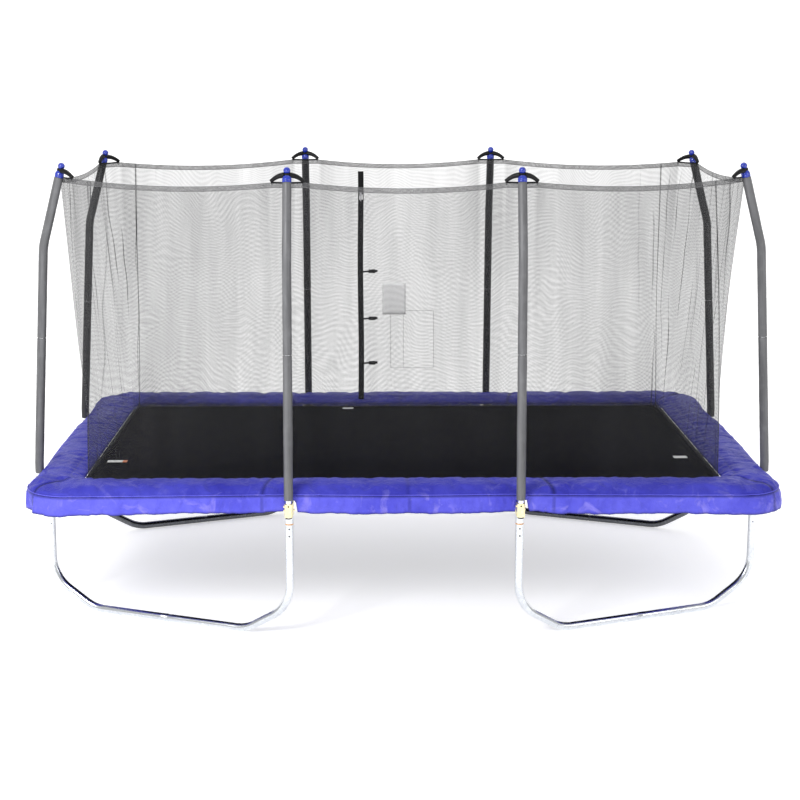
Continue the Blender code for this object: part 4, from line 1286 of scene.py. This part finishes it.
# ---------------------------------------------------------------- door
span_start = hanger_tips("back_right")[1]
span_stop = hanger_tips("back_left")[0]
door_share = (span_start.x - DOOR_X) / (span_start.x - span_stop.x)
door_top = span_start.lerp(span_stop, door_share)
door_top.z -= NET_SAG * 4 * door_share * (1 - door_share)
door_foot = Vector((DOOR_X, NET_HALF_Y, NET_BOTTOM))
door_line = (door_top - door_foot).normalized()
door_in = Vector((0, -door_line.z, door_line.y))


def on_door(z, inward, x=DOOR_X):
    """The point of the back net at this height, moved towards the mat by this much."""
    point = door_foot.lerp(door_top, (z - door_foot.z) / (door_top.z - door_foot.z))
    point.x = x
    return point + door_in * inward


BAND_OUTLINE = (
    (-0.5, -0.3), (-0.47, -0.5), (0.47, -0.5), (0.5, -0.3), (0.5, 0.3), (0.47, 0.5), (-0.47, 0.5), (-0.5, 0.3)
)


def ribbon(name, path, side, width, thick, material):
    """A flat band with rounded edges along a path, as wide as said along the side direction."""
    verts = []
    for k, point in enumerate(path):
        before, after = path[max(0, k - 1)], path[min(len(path) - 1, k + 1)]
        out = (after - before).normalized().cross(side).normalized()
        for u, v in BAND_OUTLINE:
            verts.append(point + side * u * width + out * v * thick)
    return mesh_object(name, verts, ring_faces(len(path), len(BAND_OUTLINE), caps=True), material)


strip_path = []
for step in range(61):
    share = step / 60
    z = DOOR_BOTTOM + (DOOR_TOP - DOOR_BOTTOM) * share
    sway = 0.0035 * math.sin(2 * math.pi * share * 1.15 + 0.4) * math.sin(math.pi * share) ** 0.5
    strip_path.append(on_door(z, 0.0045, DOOR_X + sway))
strip = ribbon("zip_tape", strip_path, Vector((1, 0, 0)), 0.042, 0.0024, BLACK_WEBBING)
settle(strip, ["zip_strip"])
teeth = []
for k in range(60):
    for half in (0.0, 0.5):
        place = strip_path[k].lerp(strip_path[k + 1], half)
        teeth.append(place + door_in * 0.0018 + Vector((0.0011 if half else -0.0011, 0, 0)))
chain = sweep("zip_chain", teeth, 0.0022, BLACK_PLASTIC, sides=8)
settle(chain)

soften_edges(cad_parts["zip_slider"], 0.0007, SLIDER_PLATE)
for number in (1, 2, 3):
    for kind in ("buckle_body_%d", "buckle_latch_%d"):
        soften_edges(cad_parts[kind % number], 0.0007, BLACK_PLASTIC)

for number, height in enumerate(BUCKLE_HEIGHTS, 1):
    left = []
    for k in range(5):
        left.append(on_door(height - 0.001 * k, 0.0090 + 0.0004 * k, BUCKLE_X - 0.032 - 0.011 * k))
    strap = ribbon("latch_strap_%d" % number, left, door_line, 0.013, 0.0020, BLACK_WEBBING)
    settle(strap, body="latch_%d" % number)
    right = []
    for k in range(10):
        share = k / 9
        inward = 0.0080 - 0.0040 * min(1.0, 3 * share)
        right.append(on_door(height + 0.002 * math.sin(3 * share), inward, BUCKLE_X + 0.014 + 0.020 * share))
    strap = ribbon("buckle_strap_%d" % number, right, door_line, 0.018, 0.0020, BLACK_WEBBING)
    settle(strap)


PANEL_STEPS = 10


def panel(name, corner, right, up, material, wave):
    """A thin sewn-on rectangle, slightly wavy, from one corner along two sides."""
    out = right.cross(up).normalized()
    verts = []
    for j in range(PANEL_STEPS + 1):
        for i in range(PANEL_STEPS + 1):
            place = corner + right * (i / PANEL_STEPS) + up * (j / PANEL_STEPS)
            verts.append(place + out * (wave * ruffle(place, 22.0, 2.0)))
    faces = ring_faces(PANEL_STEPS + 1, PANEL_STEPS + 1, loop=False)
    piece = mesh_object(name, verts, faces, material)
    solid = piece.modifiers.new("thickness", "SOLIDIFY")
    solid.thickness = 0.0010
    solid.offset = 0.0
    return piece


low, high = on_door(1.612, 0.0070, -0.118), on_door(1.850, 0.0070, -0.118)
placard = panel("blank_panel", low, Vector((0.176, 0, 0)), high - low, WHITE_LABEL, 0.0012)
settle(placard)
low, high = on_door(2.478, 0.0080, DOOR_X - 0.010), on_door(2.516, 0.0080, DOOR_X - 0.010)
tag = panel("door_tag", low, Vector((0.026, 0, 0)), high - low, WHITE_LABEL, 0.0006)
settle(tag)

# A sewn patch of plain net below the panel, held by a line of stitches.
outline = [(-0.056, 1.205), (0.270, 1.205), (0.270, 1.640), (-0.056, 1.640), (-0.056, 1.205)]
for name, corners in (("pocket_stitch", outline), ("pocket_fold", [(0.040, 1.205), (0.040, 1.612)])):
    path = spaced([on_door(z, 0.0030, x) for x, z in corners], 0.012)
    path = [point + door_in * 0.0006 * (k % 2) for k, point in enumerate(path)]
    settle(sweep(name, path, 0.0011, BLACK_WEBBING, sides=6))

# Blank labels sewn to the mat.
for name, x, y, right, up, material in (
    ("mat_label_left", -1.930, -0.575, 0.100, 0.050, WHITE_LABEL),
    ("mat_label_left_end", -1.8295, -0.575, 0.028, 0.050, ORANGE_LABEL),
    ("mat_label_right", 1.800, -0.50, 0.090, 0.055, WHITE_LABEL),
    ("mat_label_back", -0.42, 0.985, 0.080, 0.030, WHITE_LABEL),
):
    corner = Vector((x, y, MAT_TOP + 0.0002))
    piece = panel(name, corner, Vector((right, 0, 0)), Vector((0, up, 0)), material, 0.0003)
    settle(piece, body="mat")

# ---------------------------------------------------------------- studio
BACK_WALL = 14.0
SWEEP = 4.0
profile = [(-30.0, 0.0), (0.0, 0.0)]
for k in range(13):
    angle = math.pi / 2 * k / 12
    profile.append((BACK_WALL + SWEEP * math.sin(angle), SWEEP - SWEEP * math.cos(angle)))
profile.append((BACK_WALL + SWEEP, 22.0))
verts = [Vector((x, y, z - 0.0005)) for y, z in profile for x in (-40.0, 40.0)]


def floor_paint():
    paint = Paint("studio_paper", (0.90, 0.90, 0.90), 0.8, 0.0, Specular_IOR_Level=0.1)
    paint.set("Emission Color", (1.0, 1.0, 1.0, 1.0))
    paint.set("Emission Strength", 0.50)
    clouds = paint.noise(0.8, 3.0)
    paint.set("Base Color", paint.mix(clouds, (0.89, 0.89, 0.89), (0.93, 0.93, 0.93)))
    return paint.material


floor = mesh_object("floor", verts, ring_faces(len(profile), 2, loop=False), floor_paint())

world = bpy.data.worlds.new("studio")
bpy.context.scene.world = world
world.use_nodes = True
sky = world.node_tree.nodes["Background"].inputs
sky["Color"].default_value = (1.0, 1.0, 1.0, 1.0)
sky["Strength"].default_value = 0.62


def area_light(name, place, target, size, power):
    light = bpy.data.lights.new(name, "AREA")
    light.shape = "RECTANGLE"
    light.size, light.size_y = size
    light.energy = power
    obj = bpy.data.objects.new(name, light)
    obj.location = place
    obj.rotation_euler = (Vector(target) - Vector(place)).to_track_quat("-Z", "Y").to_euler()
    bpy.context.scene.collection.objects.link(obj)
    return obj


area_light("key", (-4.2, -6.6, 5.2), (0, -0.6, 1.2), (2.4, 2.4), 420)
area_light("fill", (6.5, -6.0, 4.0), (0, 0, 1.0), (4.0, 4.0), 110)
area_light("top", (0, 1.0, 8.5), (0, 0.0, 0.9), (7.0, 5.0), 160)

camera = bpy.data.cameras.new("view")
camera.sensor_width = 36.0
camera.lens = 66.85
camera.shift_x = 0.017
camera.shift_y = -0.100
camera.clip_end = 200.0
eye = bpy.data.objects.new("view", camera)
eye.location = (-0.187, -10.017, 3.4215)
turn = Matrix.Rotation(math.radians(-0.51), 4, "Z") @ Matrix.Rotation(math.radians(90 - 9.455), 4, "X")
eye.rotation_euler = turn.to_euler()
bpy.context.scene.collection.objects.link(eye)
bpy.context.scene.camera = eye
bpy.context.scene.view_settings.view_transform = "Standard"
